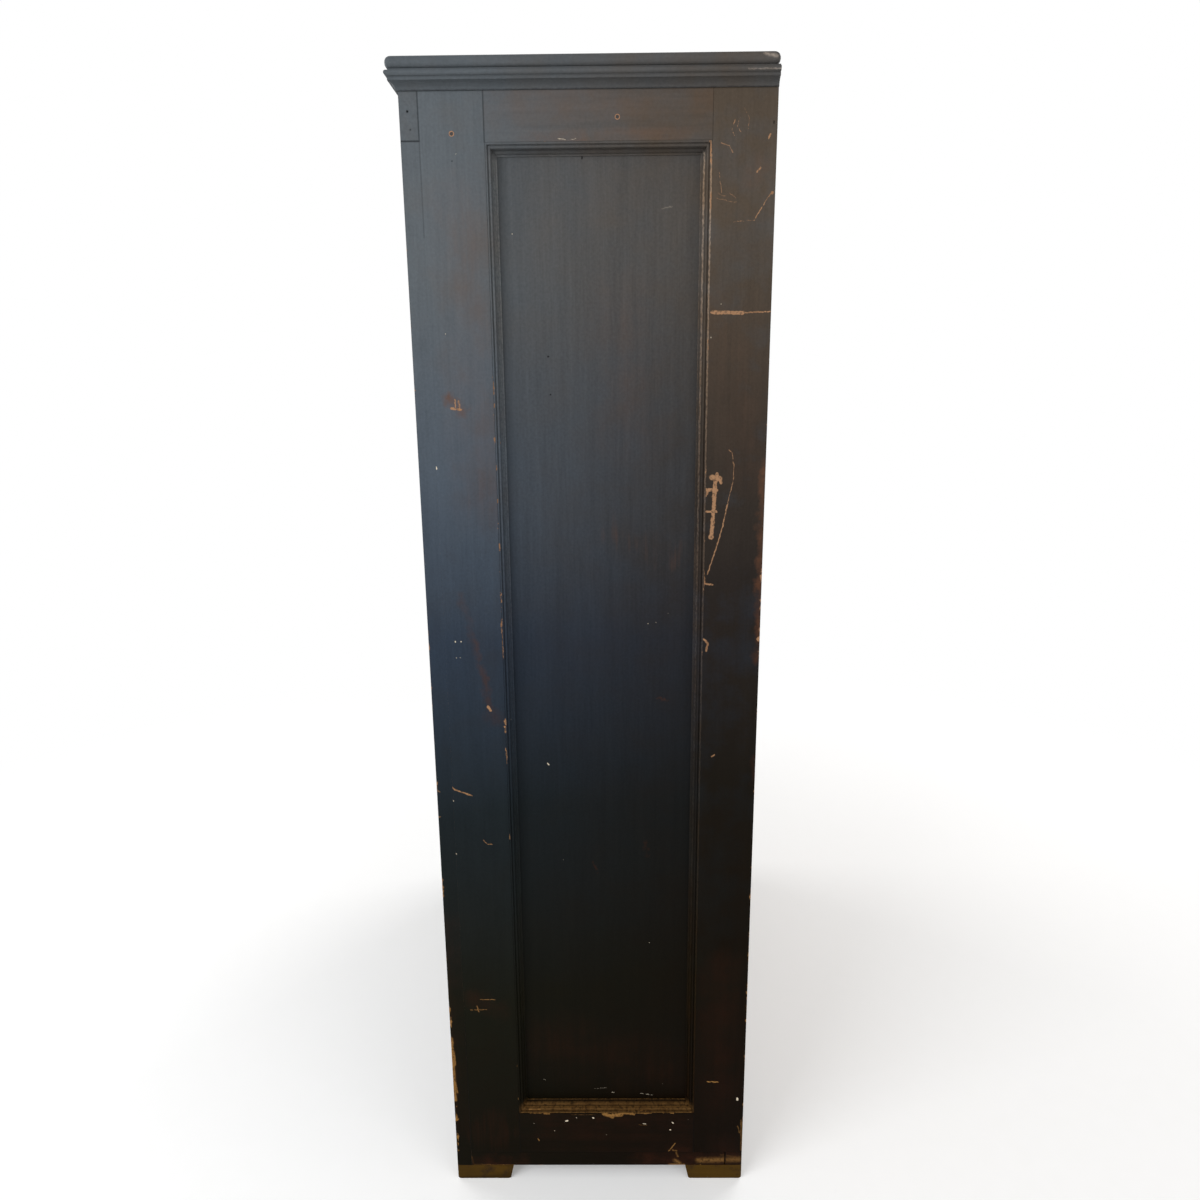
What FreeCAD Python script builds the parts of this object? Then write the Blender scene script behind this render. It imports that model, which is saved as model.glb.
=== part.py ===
import FreeCAD, Part
import math
import os
import re
import Sketcher

# A tall painted cupboard with panelled sides and two panelled doors. All lengths are in millimetres.
# X runs across the front, with the right side at +X. Y runs from the front to the back, and Z is up.
# The origin is on the floor, at the middle of the cupboard's outer box.

SIZES = {
    # The case
    "case_width": 1070,              # across the outer faces of the two sides
    "case_depth": 500,               # from the face frame's front to the back
    "case_height": 1736,             # from the feet to the top board
    "bottom_board_thickness": 27,
    "sill_thickness": 29,            # the rear sill, measured front to back
    "sill_gap": 1.2,                 # the open joint between bottom board and sill
    # The feet
    "foot_height": 28,
    "foot_length": 99,               # front to back, at its top
    "foot_width": 75,                # across the cupboard
    "foot_corner_radius": 5,
    "foot_slope": 5,                 # how far the inner end leans in
    # The face frame
    "face_thickness": 25,
    "face_stile_width": 62,
    "face_top_rail_height": 84,
    "face_bottom_rail_height": 75,
    "face_tenon_length": 40,
    "face_tenon_thickness": 9,
    "face_tenon_shoulder": 10,       # cut from the tenon's width at both edges
    "stop_thickness": 20,            # the batten that the doors close against
    "stop_lap": 10,                  # how far it stands up behind the doors
    # The side frames
    "side_thickness": 32,
    "side_front_stile_width": 86.5,
    "side_rear_stile_width": 85.3,
    "side_top_rail_height": 86,
    "side_bottom_rail_height": 82,
    "side_panel_recess": 19,         # from the frame's face to the panel's face
    "side_panel_field": 4,           # how far the panel is thicker at its middle
    # What all the panelled frames share
    "groove_width": 8,
    "groove_depth": 10,
    "panel_play": 1.5,               # left at the groove's bottom for the panel to swell
    "tenon_length": 45,
    "tenon_haunch": 18,              # the tenon's shoulder at the frame's outer edge
    "mortise_spare": 1,              # the mortise is this much deeper than the tenon is long
    "field_margin": 2,               # from the frame's edge to the bevel of the panel's field
    "bevel_width": 25,
    "moulding_width": 14,
    "moulding_drop": 0.8,            # the moulding's arris lies this far below the frame's face
    # The top and its cornice
    "top_board_thickness": 15,
    "top_board_reach": 14,           # how far the top board stands out from the case
    "cornice_reach": 14.5,           # how far the cornice under it stands out
    "cornice_height": 24,
    "top_corner_radius": 9,          # of the top board's corners, seen from above
    "top_nose_radius": 6.8,
    "top_cleat_height": 60,
    "top_cleat_thickness": 22,
    # The back and the shelves
    "back_board_thickness": 14,
    "back_rabbet_width": 12,
    "back_board_gap": 1,
    "back_rail_height": 60,
    "back_rail_thickness": 25,
    "shelf_thickness": 20,
    "shelf_setback": 45,             # from the face frame's back to the shelf's front
    "shelf_play": 1,                 # at each end of a shelf
    "cleat_height": 24,
    "cleat_thickness": 20,
    "cleat_setback": 8,              # from the shelf's front to the cleat's end
    # The doors
    "door_stile_width": 80,
    "door_top_rail_height": 85,
    "door_bottom_rail_height": 105,
    "door_panel_recess": 12,
    "door_panel_field": 3,
    "door_stop_gap": 0.4,            # between the closed door and its stop
    "door_top_gap": 2.5,
    "door_bottom_gap": 3,
    "meeting_gap": 3,
    # The hinges
    "hinge_gap": 2,                  # between a door and its stile
    "hinge_height": 76,
    "hinge_end_distance": 190,       # from the door's end to the hinge's middle
    "knuckle_radius": 5,
    "knuckle_play": 0.3,             # between a knuckle and what it turns past
    "leaf_width": 20,
    "leaf_thickness": 2.5,
    "leaf_spacing": 0.6,             # between the two leaves of a closed hinge
    "pin_radius": 2.2,
    "pin_play": 0.05,
    "pin_head_radius": 4,
    "pin_head_height": 2.5,
    "pin_tip_length": 2,
    "screw_shank_radius": 1.6,
    "screw_head_radius": 3.4,
    "screw_head_height": 1.8,
    "screw_length": 18,
    "screw_play": 0.1,
    # The nails in the sides
    "nail_head_radius": 3.5,
    "nail_head_height": 1,
    "nail_shank_radius": 1.5,
    "nail_play": 0.05,
    "joint_nail_inset": 43.3,        # from the side's front edge to the nail in its joint
    "joint_nail_drop": 75.4,         # below the top of the case
    "joint_nail_length": 28,
    "rail_nail_inset": 263.4,
    "rail_nail_drop": 57.3,
    "rail_nail_length": 46,
    # The turn latch
    "latch_drop": 760,               # from the top of the doors to the latch
    "knob_reach": 34,                # how far the knob stands out from the door
    "knob_radius": 16,
    "knob_neck_radius": 8,
    "knob_flange_radius": 13,
    "knob_gap": 0.3,
    "shank_radius": 6,
    "shank_play": 0.1,
    "pawl_gap": 0.8,                 # between the door's back and the pawl
    "pawl_thickness": 12,
    "pawl_width": 22,
    "pawl_length": 66,               # from the shank's middle to the tip
    # The bolt
    "bolt_plate_width": 24,
    "bolt_plate_height": 70,
    "bolt_plate_thickness": 2,
    "bolt_plate_drop": 16,           # from the door's top to the plate
    "bolt_rod_radius": 4,
    "bolt_play": 0.15,
    "bolt_tip_gap": 2,               # from the drawn bolt's tip to the door's top
    "bolt_tail": 26,                 # how far the drawn bolt hangs below its lower staple
    "staple_height": 12,
    "staple_radius": 7,
    "staple_end_distance": 8,        # from the plate's end to its staple
    "stud_radius": 3,
    "stud_length": 13,
    "stud_gap": 0.2,                 # between the resting stud and the lower staple
    # Cuts run this far past the face that they open
    "cut_overrun": 1,
}
SHELF_COUNT = 4
BACK_BOARD_COUNT = 4
KNUCKLE_COUNT = 5

# Places that several pieces share, as formulas of the sizes
FACE_Y = "((knob_reach - case_depth) / 2)"
BACK_Y = "((knob_reach + case_depth) / 2)"
SIDE_X = "(case_width / 2)"
INNER_X = "(case_width / 2 - side_thickness)"
CASE_TOP = "(foot_height + case_height)"
SIDE_BOTTOM = "(foot_height + bottom_board_thickness)"
SIDE_FRONT = f"({FACE_Y} + face_thickness)"
BACK_FRONT = f"({BACK_Y} - back_board_thickness)"
OPENING_X = "(case_width / 2 - face_stile_width)"
OPENING_BOTTOM = "(foot_height + face_bottom_rail_height)"
OPENING_TOP = f"({CASE_TOP} - face_top_rail_height)"
DOOR_BOTTOM = f"({OPENING_BOTTOM} + door_bottom_gap)"
DOOR_TOP = f"({OPENING_TOP} - door_top_gap)"
DOOR_WIDTH = f"({OPENING_X} - hinge_gap - meeting_gap / 2)"
DOOR_THICKNESS = "(face_thickness - door_stop_gap)"
DOOR_BACK = f"({FACE_Y} + {DOOR_THICKNESS})"
SHELF_FRONT = f"({SIDE_FRONT} + shelf_setback)"
LATCH_Z = f"({DOOR_TOP} - latch_drop)"
LOCK_STILE_X = "(meeting_gap / 2 + door_stile_width / 2)"
HINGE_X = f"({OPENING_X} - hinge_gap / 2)"
HINGE_Y = f"({FACE_Y} - knuckle_radius - knuckle_play)"
LEAF_SINK = "(leaf_spacing / 2 + leaf_thickness - hinge_gap / 2)"
KNUCKLE_HEIGHT = f"(hinge_height / {KNUCKLE_COUNT})"
BOLT_Y = f"({DOOR_BACK} + bolt_plate_thickness + bolt_play + bolt_rod_radius)"

# A quarter circle between two points of an outline: the tangent of a quarter of its turn
QUARTER_SHARE = math.tan(math.radians(90) / 4)
HALF_SHARE = math.tan(math.radians(180) / 4)
SHALLOW_SHARE = math.tan(math.radians(60) / 4)

# The panel moulding's section, as shares of its width (across, from the frame's edge) and of its height
# (up from the panel), with the bulge of the stretch that follows where that stretch is an arc
MOULDING_SHARES = (
    (0.00, 0.00, 0),
    (1.00, 0.00, 0),
    (1.00, 0.12, 0),
    (0.86, 0.16, SHALLOW_SHARE),
    (0.74, 0.44, 0),
    (0.66, 0.44, -QUARTER_SHARE),
    (0.58, 0.62, 0),
    (0.56, 0.70, 0),
    (0.50, 0.70, HALF_SHARE),
    (0.26, 0.84, 0),
    (0.20, 0.84, 0),
    (0.20, 0.96, 0),
    (0.16, 1.00, 0),
    (0.00, 1.00, 0),
)

# The cornice's section, as shares of its reach (out from the case) and of its height
CORNICE_SHARES = (
    (0.00, 0.00, 0),
    (0.14, 0.00, 0),
    (0.14, 0.07, -SHALLOW_SHARE),
    (0.66, 0.42, 0),
    (0.74, 0.42, 0),
    (0.74, 0.53, 0),
    (0.70, 0.60, 0),
    (0.75, 0.62, HALF_SHARE),
    (0.75, 0.92, 0),
    (0.66, 0.94, 0),
    (0.66, 1.00, 0),
    (0.00, 1.00, 0),
)

doc = FreeCAD.newDocument("Cupboard")
sheet = doc.addObject("Spreadsheet::Sheet", "Sizes")
for row, (alias, size) in enumerate(SIZES.items(), start=1):
    sheet.set(f"A{row}", alias)
    sheet.set(f"B{row}", str(size))
    sheet.setAlias(f"B{row}", alias)
doc.recompute()

pieces = {}
X_AXIS = FreeCAD.Vector(1, 0, 0)
Y_AXIS = FreeCAD.Vector(0, 1, 0)
Z_AXIS = FreeCAD.Vector(0, 0, 1)
ORIGIN = ("0", "0", "0")
SIZE_NAME = re.compile(r"\b[a-z]+(?:_[a-z]+)+\b")


def formula(text):
    """The text with the name of each size pointed at its cell."""
    return SIZE_NAME.sub(lambda found: "Sizes." + found.group(), str(text))


def value(text):
    """What a formula comes to now."""
    return float(sheet.evalExpression(formula(text)))


def bind(item, **formulas):
    """Ties properties to formulas."""
    for name, text in formulas.items():
        item.setExpression(name, formula(text))


def place(item, corner, turn=None):
    """Puts an item at a corner given as three formulas, with an optional rotation."""
    if turn is not None:
        item.Placement = FreeCAD.Placement(FreeCAD.Vector(), turn)
    for axis, text in zip("xyz", corner):
        item.setExpression("Placement.Base." + axis, formula(text))
    return item


def keep(label, item):
    """Names a finished piece."""
    item.Label = label
    pieces[label] = item
    return item


def turned(x_to, y_to, z_to):
    """The rotation that sends the three axes to these directions."""
    return FreeCAD.Rotation(x_to, y_to, z_to, "XYZ")


def block(name, corner, size, turn=None):
    box = doc.addObject("Part::Box", name)
    bind(box, Length=size[0], Width=size[1], Height=size[2])
    return place(box, corner, turn)


def rod(name, base, radius, length, turn=None):
    cylinder = doc.addObject("Part::Cylinder", name)
    bind(cylinder, Radius=radius, Height=length)
    return place(cylinder, base, turn)


def cone(name, base, start_radius, end_radius, length, turn=None):
    taper = doc.addObject("Part::Cone", name)
    bind(taper, Radius1=start_radius, Radius2=end_radius, Height=length)
    return place(taper, base, turn)


def fuse(name, *items):
    union = doc.addObject("Part::MultiFuse", name)
    union.Shapes = list(items)
    union.Refine = True
    return union


def cut(name, base, *tools):
    """The base less its tools."""
    piece = doc.addObject("Part::Cut", name)
    piece.Base = base
    piece.Tool = tools[0] if len(tools) == 1 else fuse(name + "_tools", *tools)
    piece.Refine = True
    return piece


def group(name, *items):
    """Separate solids that share a node."""
    compound = doc.addObject("Part::Compound", name)
    compound.Links = list(items)
    return compound


def mirrored(name, source):
    """The same piece for the other side of the cupboard."""
    twin = doc.addObject("Part::Mirroring", name)
    twin.Source = source
    twin.Base = FreeCAD.Vector()
    twin.Normal = X_AXIS
    return twin


def new_body(name):
    return doc.addObject("PartDesign::Body", name)


def outline(body, plane_role, name, points, lift="0"):
    """A closed sketch through points given as two formulas and the bulge of the stretch that follows."""
    sketch = body.newObject("Sketcher::SketchObject", name)
    plane = next(feature for feature in body.Origin.OriginFeatures if feature.Role == plane_role)
    sketch.AttachmentSupport = [(plane, "")]
    sketch.MapMode = "FlatFace"
    sketch.setExpression("AttachmentOffset.Base.z", formula(lift))
    places = [FreeCAD.Vector(value(point[0]), value(point[1]), 0) for point in points]
    heads = []
    for index, start in enumerate(places):
        end = places[(index + 1) % len(places)]
        bulge = points[index][2]
        if bulge:
            heads.append(add_arc(sketch, start, end, bulge))
        else:
            sketch.addGeometry(Part.LineSegment(start, end), False)
            heads.append((1, 2))
    for index, (_, tail) in enumerate(heads):
        following = (index + 1) % len(heads)
        sketch.addConstraint(Sketcher.Constraint("Coincident", index, tail, following, heads[following][0]))
    for index, (head, _) in enumerate(heads):
        for kind, text in zip(("DistanceX", "DistanceY"), points[index]):
            add_size(sketch, Sketcher.Constraint(kind, -1, 1, index, head, value(text)), text)
    for index, point in enumerate(points):
        if point[2]:
            kind, centre = arc_centre(point, points[(index + 1) % len(points)])
            add_size(sketch, Sketcher.Constraint(kind, -1, 1, index, 3, value(centre)), centre)
    return sketch


def add_size(sketch, constraint, text):
    """A sketch constraint tied to its formula."""
    number = sketch.addConstraint(constraint)
    sketch.setExpression(f"Constraints[{number}]", formula(text))


def arc_centre(start, end):
    """The formula that sets the centre of the arc from one outline point to the next, and its direction."""
    bulge = start[2]
    shift = (1 - bulge * bulge) / (4 * bulge)
    x_run = f"(({end[0]}) - ({start[0]}))"
    y_run = f"(({end[1]}) - ({start[1]}))"
    if abs(value(x_run)) > abs(value(y_run)):
        return "DistanceY", f"(({start[1]}) + ({end[1]})) / 2 + {x_run} * {shift}"
    return "DistanceX", f"(({start[0]}) + ({end[0]})) / 2 - {y_run} * {shift}"


def add_arc(sketch, start, end, bulge):
    """Draws an arc, and says which of its ends are the outline's head and tail there."""
    chord = end - start
    centre = (start + end) / 2 + FreeCAD.Vector(-chord.y, chord.x, 0) * ((1 - bulge * bulge) / (4 * bulge))
    radius = (start - centre).Length
    circle = Part.Circle(centre, Z_AXIS, radius)
    first, last = (start, end) if bulge > 0 else (end, start)
    first_angle = math.atan2(first.y - centre.y, first.x - centre.x)
    last_angle = math.atan2(last.y - centre.y, last.x - centre.x)
    if last_angle < first_angle:
        last_angle += 2 * math.pi
    sketch.addGeometry(Part.ArcOfCircle(circle, first_angle, last_angle), False)
    return (1, 2) if bulge > 0 else (2, 1)


def pad(body, name, sketch, length, midplane=False):
    feature = body.newObject("PartDesign::Pad", name)
    feature.Profile = sketch
    feature.Midplane = midplane
    bind(feature, Length=length)
    return feature


def pocket_through(body, name, sketch):
    """Cuts a sketch's outline right through the body, both ways from its plane."""
    feature = body.newObject("PartDesign::Pocket", name)
    feature.Profile = sketch
    feature.Type = "ThroughAll"
    feature.Midplane = True
    return feature


# Panelled frames: a side of the case, or a door.
# A frame's own X runs across it, its Y goes in from its outer face and its Z is up.

def mitred_strip(name, length, shares, width, height, near_mitre=0, far_mitre=0):
    """A strip of moulding along Y, centred on it, with its section in X and Z.

    A mitre of 1 makes that end grow shorter across the strip, one of -1 makes it longer, and 0 is square.
    The length is that of the edge at X = 0.
    """
    body = new_body(name)
    points = [(f"({across}) * {width}", f"({up}) * {height}", bulge) for across, up, bulge in shares]
    section = outline(body, "XZ_Plane", "section", points)
    pad(body, "length", section, f"{length} + 2 * {width}", midplane=True)
    for end, mitre in ((-1, near_mitre), (1, far_mitre)):
        corners = (
            ("-cut_overrun", f"{end} * ({length} / 2 + {mitre} * cut_overrun)", 0),
            (f"{width} + cut_overrun", f"{end} * ({length} / 2 - {mitre} * ({width} + cut_overrun))", 0),
            (f"{width} + cut_overrun", f"{end} * ({length} / 2 + 2 * {width} + cut_overrun)", 0),
            ("-cut_overrun", f"{end} * ({length} / 2 + 2 * {width} + cut_overrun)", 0),
        )
        waste = outline(body, "XY_Plane", "mitre", corners)
        pocket_through(body, "mitre_cut", waste)
    return body


def framed_panel(prefix, near_name, far_name, frame, at, turn):
    """The pieces of one panelled frame. `at` gives a corner's formulas from the frame's own."""
    wide, tall, thick, wall = frame["width"], frame["height"], frame["thickness"], frame["recess"]
    near, far, upper, lower = frame["near"], frame["far"], frame["upper"], frame["lower"]
    span = f"({wide} - {near} - {far})"
    rise = f"({tall} - {upper} - {lower})"
    made = {}

    for name, inner_edge, start, width, side in (
        (near_name, near, "0", near, -1), (far_name, f"({wide} - {far})", f"{wide} - {far}", far, 1),
    ):
        body = block(prefix + name + "_blank", (start, "0", "0"), (width, thick, tall))
        depth_start = f"{inner_edge} - groove_depth" if side < 0 else f"{inner_edge} - cut_overrun"
        groove = block("groove", (depth_start, wall, "-cut_overrun"),
                       ("groove_depth + cut_overrun", "groove_width", f"{tall} + 2 * cut_overrun"))
        mortise_start = f"{inner_edge} - tenon_length - mortise_spare" if side < 0 else inner_edge
        mortises = [
            block("mortise", (mortise_start, wall, bottom),
                  ("tenon_length + mortise_spare", "groove_width", f"{rail} - groove_depth - tenon_haunch"))
            for bottom, rail in (("tenon_haunch", lower), (f"{tall} - {upper} + groove_depth", upper))
        ]
        made[name] = cut(prefix + name, body, groove, *mortises)

    for name, rail, base, tenon_base, groove_base in (
        ("bottom_rail", lower, "0", "tenon_haunch", f"{lower} - groove_depth"),
        ("top_rail", upper, f"({tall} - {upper})", f"{tall} - {upper} + groove_depth",
         f"{tall} - {upper} - cut_overrun"),
    ):
        haunch_base = base if name == "bottom_rail" else f"{base} + groove_depth"
        solid = fuse(
            prefix + name + "_blank",
            block("rail", (near, "0", base), (span, thick, rail)),
            block("haunch", (f"{near} - groove_depth", wall, haunch_base),
                  (f"{span} + 2 * groove_depth", "groove_width", f"{rail} - groove_depth")),
            block("tenon", (f"{near} - tenon_length", wall, tenon_base),
                  (f"{span} + 2 * tenon_length", "groove_width", f"{rail} - groove_depth - tenon_haunch")),
        )
        groove = block("groove", (f"{near} - cut_overrun", wall, groove_base),
                       (f"{span} + 2 * cut_overrun", "groove_width", "groove_depth + cut_overrun"))
        made[name] = cut(prefix + name, solid, groove)

    sunk = "(groove_depth - panel_play)"
    tongue = block("tongue", (f"{near} - {sunk}", wall, f"{lower} - {sunk}"),
                   (f"{span} + 2 * {sunk}", "groove_width", f"{rise} + 2 * {sunk}"))
    field = doc.addObject("Part::Wedge", "field")
    bind(field, Xmin=f"{near} + field_margin", Xmax=f"{near} + {span} - field_margin",
         Zmin=f"{lower} + field_margin", Zmax=f"{lower} + {rise} - field_margin",
         X2min=f"{near} + field_margin + bevel_width",
         X2max=f"{near} + {span} - field_margin - bevel_width",
         Z2min=f"{lower} + field_margin + bevel_width",
         Z2max=f"{lower} + {rise} - field_margin - bevel_width",
         Ymin=f"{wall} + groove_width", Ymax=f"{wall} + groove_width + {frame['field']}")
    made["panel"] = fuse(prefix + "panel", tongue, field)

    strips = []
    middle_x = f"({near} + {span} / 2)"
    middle_z = f"({lower} + {rise} / 2)"
    for name, length, across, corner in (
        ("near", rise, X_AXIS, (near, wall, middle_z)),
        ("far", rise, -X_AXIS, (f"{near} + {span}", wall, middle_z)),
        ("lower", span, Z_AXIS, (middle_x, wall, lower)),
        ("upper", span, -Z_AXIS, (middle_x, wall, f"{lower} + {rise}")),
    ):
        strip = mitred_strip(f"{prefix}{name}_strip", length, MOULDING_SHARES, "moulding_width",
                             f"({wall} - moulding_drop)", near_mitre=1, far_mitre=1)
        strips.append(place(strip, corner, turned(across, (-Y_AXIS).cross(across), -Y_AXIS)))
    made["moulding"] = group(prefix + "moulding", *strips)

    for name, item in made.items():
        place(item, at("0", "0", "0"), turn)
    return made


def screw(name, base, direction, play="0"):
    """A countersunk screw from its head's outer face, or with play the hole that it needs."""
    turn = FreeCAD.Rotation(Z_AXIS, direction)
    step = "+" if direction.x > 0 else "-"
    shank_base = (f"{base[0]} {step} screw_head_height", base[1], base[2])
    head = cone(name + "_head", base, f"screw_head_radius + {play}", f"screw_shank_radius + {play}",
                "screw_head_height", turn)
    shank = rod(name + "_shank", shank_base, f"screw_shank_radius + {play}",
                f"screw_length - screw_head_height + {play}", turn)
    return fuse(name, head, shank)


def hinge(name, middle_z):
    """One butt hinge of the right door: both leaves, the pin, the screws and their holes."""
    base_z = f"({middle_z} - hinge_height / 2)"
    leaf_reach = f"({FACE_Y} + leaf_width - {HINGE_Y})"
    made = {}
    for leaf, direction, first in (("frame", X_AXIS, 0), ("door", -X_AXIS, 1)):
        face_x = f"({HINGE_X} + leaf_spacing / 2)" if first == 0 else f"({HINGE_X} - leaf_spacing / 2)"
        plate_x = face_x if first == 0 else f"{face_x} - leaf_thickness"
        barrel = rod("barrel", (HINGE_X, HINGE_Y, base_z), "knuckle_radius", "hinge_height")
        plate = block("plate", (plate_x, HINGE_Y, base_z), ("leaf_thickness", leaf_reach, "hinge_height"))
        spaces = [
            block("space", (f"{HINGE_X} - knuckle_radius - cut_overrun",
                            f"{HINGE_Y} - knuckle_radius - cut_overrun",
                            f"{base_z} + {index} * {KNUCKLE_HEIGHT} - knuckle_play / 2"),
                  ("2 * (knuckle_radius + cut_overrun)", "2 * knuckle_radius + knuckle_play + cut_overrun",
                   f"{KNUCKLE_HEIGHT} + knuckle_play"))
            for index in range(1 - first, KNUCKLE_COUNT, 2)
        ]
        bore = rod("pin_bore", (HINGE_X, HINGE_Y, f"{base_z} - cut_overrun"), "pin_radius + pin_play",
                   "hinge_height + 2 * cut_overrun")
        screws = []
        holes = []
        for height_share, width_share in zip(SCREW_HEIGHT_SHARES, SCREW_WIDTH_SHARES):
            spot = (face_x, f"{FACE_Y} + {width_share} * leaf_width",
                    f"{base_z} + {height_share} * hinge_height")
            screws.append(screw("screw", spot, direction))
            holes.append(screw("screw_hole", spot, direction, "screw_play"))
        made[leaf + "_leaf"] = cut(f"{name}_{leaf}_leaf", fuse("leaf_blank", barrel, plate),
                                   *spaces, bore, *holes)
        made[leaf + "_screws"] = screws
        made[leaf + "_holes"] = holes
    pin = rod("pin", (HINGE_X, HINGE_Y, f"{base_z} - pin_tip_length"), "pin_radius",
              "hinge_height + pin_tip_length + pin_head_height / 2")
    head = rod("pin_head", (HINGE_X, HINGE_Y, f"{base_z} + hinge_height"), "pin_head_radius",
               "pin_head_height")
    made["pin"] = fuse(name + "_pin", pin, head)
    return made


# Where a leaf's three screws sit, as shares of its height and of its width
SCREW_HEIGHT_SHARES = (0.16, 0.5, 0.84)
SCREW_WIDTH_SHARES = (0.62, 0.42, 0.62)

# The hinges come first, because the stiles are cut for them
HINGE_HEIGHTS = (f"({DOOR_BOTTOM} + hinge_end_distance)", f"({DOOR_TOP} - hinge_end_distance)")
hinges = [hinge(name, height) for name, height in zip(("lower_hinge", "upper_hinge"), HINGE_HEIGHTS)]
leaf_beds = [
    block("leaf_bed", (f"{OPENING_X} - hinge_gap - {LEAF_SINK}", f"{FACE_Y} - cut_overrun",
                       f"{height} - hinge_height / 2"),
          (f"2 * {LEAF_SINK} + hinge_gap", "leaf_width + cut_overrun", "hinge_height"))
    for height in HINGE_HEIGHTS
]
frame_holes = [hole for parts in hinges for hole in parts["frame_holes"]]
door_holes = [hole for parts in hinges for hole in parts["door_holes"]]

right_leaves = group("right_frame_leaves", *[parts["frame_leaf"] for parts in hinges])
keep("hinge_frame_leaves", group("frame_leaves", right_leaves, mirrored("left_frame_leaves", right_leaves)))
right_pins = group("right_pins", *[parts["pin"] for parts in hinges])
keep("hinge_pins", group("pins", right_pins, mirrored("left_pins", right_pins)))
right_screws = group("right_frame_screws", *[item for parts in hinges for item in parts["frame_screws"]])
keep("hinge_frame_screws", group("frame_screws", right_screws, mirrored("left_frame_screws", right_screws)))
door_leaves = keep("right_door_hinge_leaves", group("door_leaves", *[parts["door_leaf"] for parts in hinges]))
keep("left_door_hinge_leaves", mirrored("left_door_leaves", door_leaves))
door_screws = group("door_screws", *[item for parts in hinges for item in parts["door_screws"]])
keep("right_door_hinge_screws", door_screws)
keep("left_door_hinge_screws", mirrored("left_door_screws", door_screws))


# The feet, the bottom board and the rear sill

def foot(name, direction):
    """A block whose lower corners are rounded and whose inner end leans. Its outer end is at Y = 0."""
    body = new_body(name)
    points = (
        ("0", "foot_height", 0),
        ("0", "foot_corner_radius", QUARTER_SHARE),
        ("foot_corner_radius", "0", 0),
        ("foot_length - foot_slope - foot_corner_radius", "0", QUARTER_SHARE),
        ("foot_length - foot_slope", "foot_corner_radius", 0),
        ("foot_length", "foot_height", 0),
    )
    pad(body, "width", outline(body, "YZ_Plane", "side", points), "foot_width")
    if direction > 0:
        return place(body, (f"{SIDE_X} - foot_width", FACE_Y, "0"))
    return place(body, (SIDE_X, BACK_Y, "0"), turned(-X_AXIS, -Y_AXIS, Z_AXIS))


for name, direction in (("front", 1), ("rear", -1)):
    right_foot = foot(f"right_{name}_foot", direction)
    keep(f"{name}_feet", group(f"{name}_pair", right_foot, mirrored(f"left_{name}_foot", right_foot)))

keep("bottom_board", block("bottom_board", (f"-{SIDE_X}", SIDE_FRONT, "foot_height"),
                           ("case_width", "case_depth - face_thickness - sill_thickness - sill_gap",
                            "bottom_board_thickness")))
keep("rear_sill", block("rear_sill", (f"-{SIDE_X}", f"{BACK_Y} - sill_thickness", "foot_height"),
                        ("case_width", "sill_thickness", "bottom_board_thickness")))


# The side frames, with the nails that show in them

def at_side(across, depth, up):
    """A corner of the right side frame, from the frame's own sizes."""
    return (f"{SIDE_X} - ({depth})", f"{SIDE_FRONT} + ({across})", f"{SIDE_BOTTOM} + ({up})")


def nail(name, spot, length, play="0"):
    """A nail driven in from the right side's face, or with play the hole that it makes."""
    turn = FreeCAD.Rotation(Z_AXIS, -X_AXIS)
    head = rod(name + "_head", spot, f"nail_head_radius + {play}", "nail_head_height", turn)
    shank = rod(name + "_shank", spot, f"nail_shank_radius + {play}", f"{length} + {play}", turn)
    return fuse(name, head, shank)


side_frame = {
    "width": "(case_depth - face_thickness)", "height": "(case_height - bottom_board_thickness)",
    "thickness": "side_thickness", "recess": "side_panel_recess", "field": "side_panel_field",
    "near": "side_front_stile_width", "far": "side_rear_stile_width",
    "upper": "side_top_rail_height", "lower": "side_bottom_rail_height",
}
side = framed_panel("right_side_", "front_stile", "rear_stile", side_frame, at_side,
                    turned(Y_AXIS, -X_AXIS, Z_AXIS))

joint_spot = (SIDE_X, f"{SIDE_FRONT} + joint_nail_inset", f"{CASE_TOP} - joint_nail_drop")
rail_spot = (SIDE_X, f"{SIDE_FRONT} + rail_nail_inset", f"{CASE_TOP} - rail_nail_drop")
joint_hole = nail("joint_nail_hole", joint_spot, "joint_nail_length", "nail_play")
rail_hole = nail("rail_nail_hole", rail_spot, "rail_nail_length", "nail_play")
side["front_stile"] = cut("front_stile_nailed", side["front_stile"], joint_hole)
side["top_rail"] = cut("top_rail_nailed", side["top_rail"], joint_hole, rail_hole)
back_rabbet = block("back_rabbet", (INNER_X + " - cut_overrun", BACK_FRONT, f"{SIDE_BOTTOM} - cut_overrun"),
                    ("back_rabbet_width + cut_overrun", "back_board_thickness + cut_overrun",
                     f"{CASE_TOP} - {SIDE_BOTTOM} + 2 * cut_overrun"))
side["rear_stile"] = cut("rear_stile_rabbeted", side["rear_stile"], back_rabbet)
for name, item in side.items():
    keep("right_side_" + name, item)
    keep("left_side_" + name, mirrored("left_side_" + name, item))

right_nails = group("right_nails", nail("joint_nail", joint_spot, "joint_nail_length"),
                    nail("rail_nail", rail_spot, "rail_nail_length"))
keep("side_nails", group("nails", right_nails, mirrored("left_nails", right_nails)))


# The face frame

TENON_Y = f"({FACE_Y} + (face_thickness - face_tenon_thickness) / 2)"
STILE_TENON_WIDTH = "(face_stile_width - 2 * face_tenon_shoulder)"
RAIL_TENON_HEIGHT = "(face_bottom_rail_height - 2 * face_tenon_shoulder)"


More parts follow.
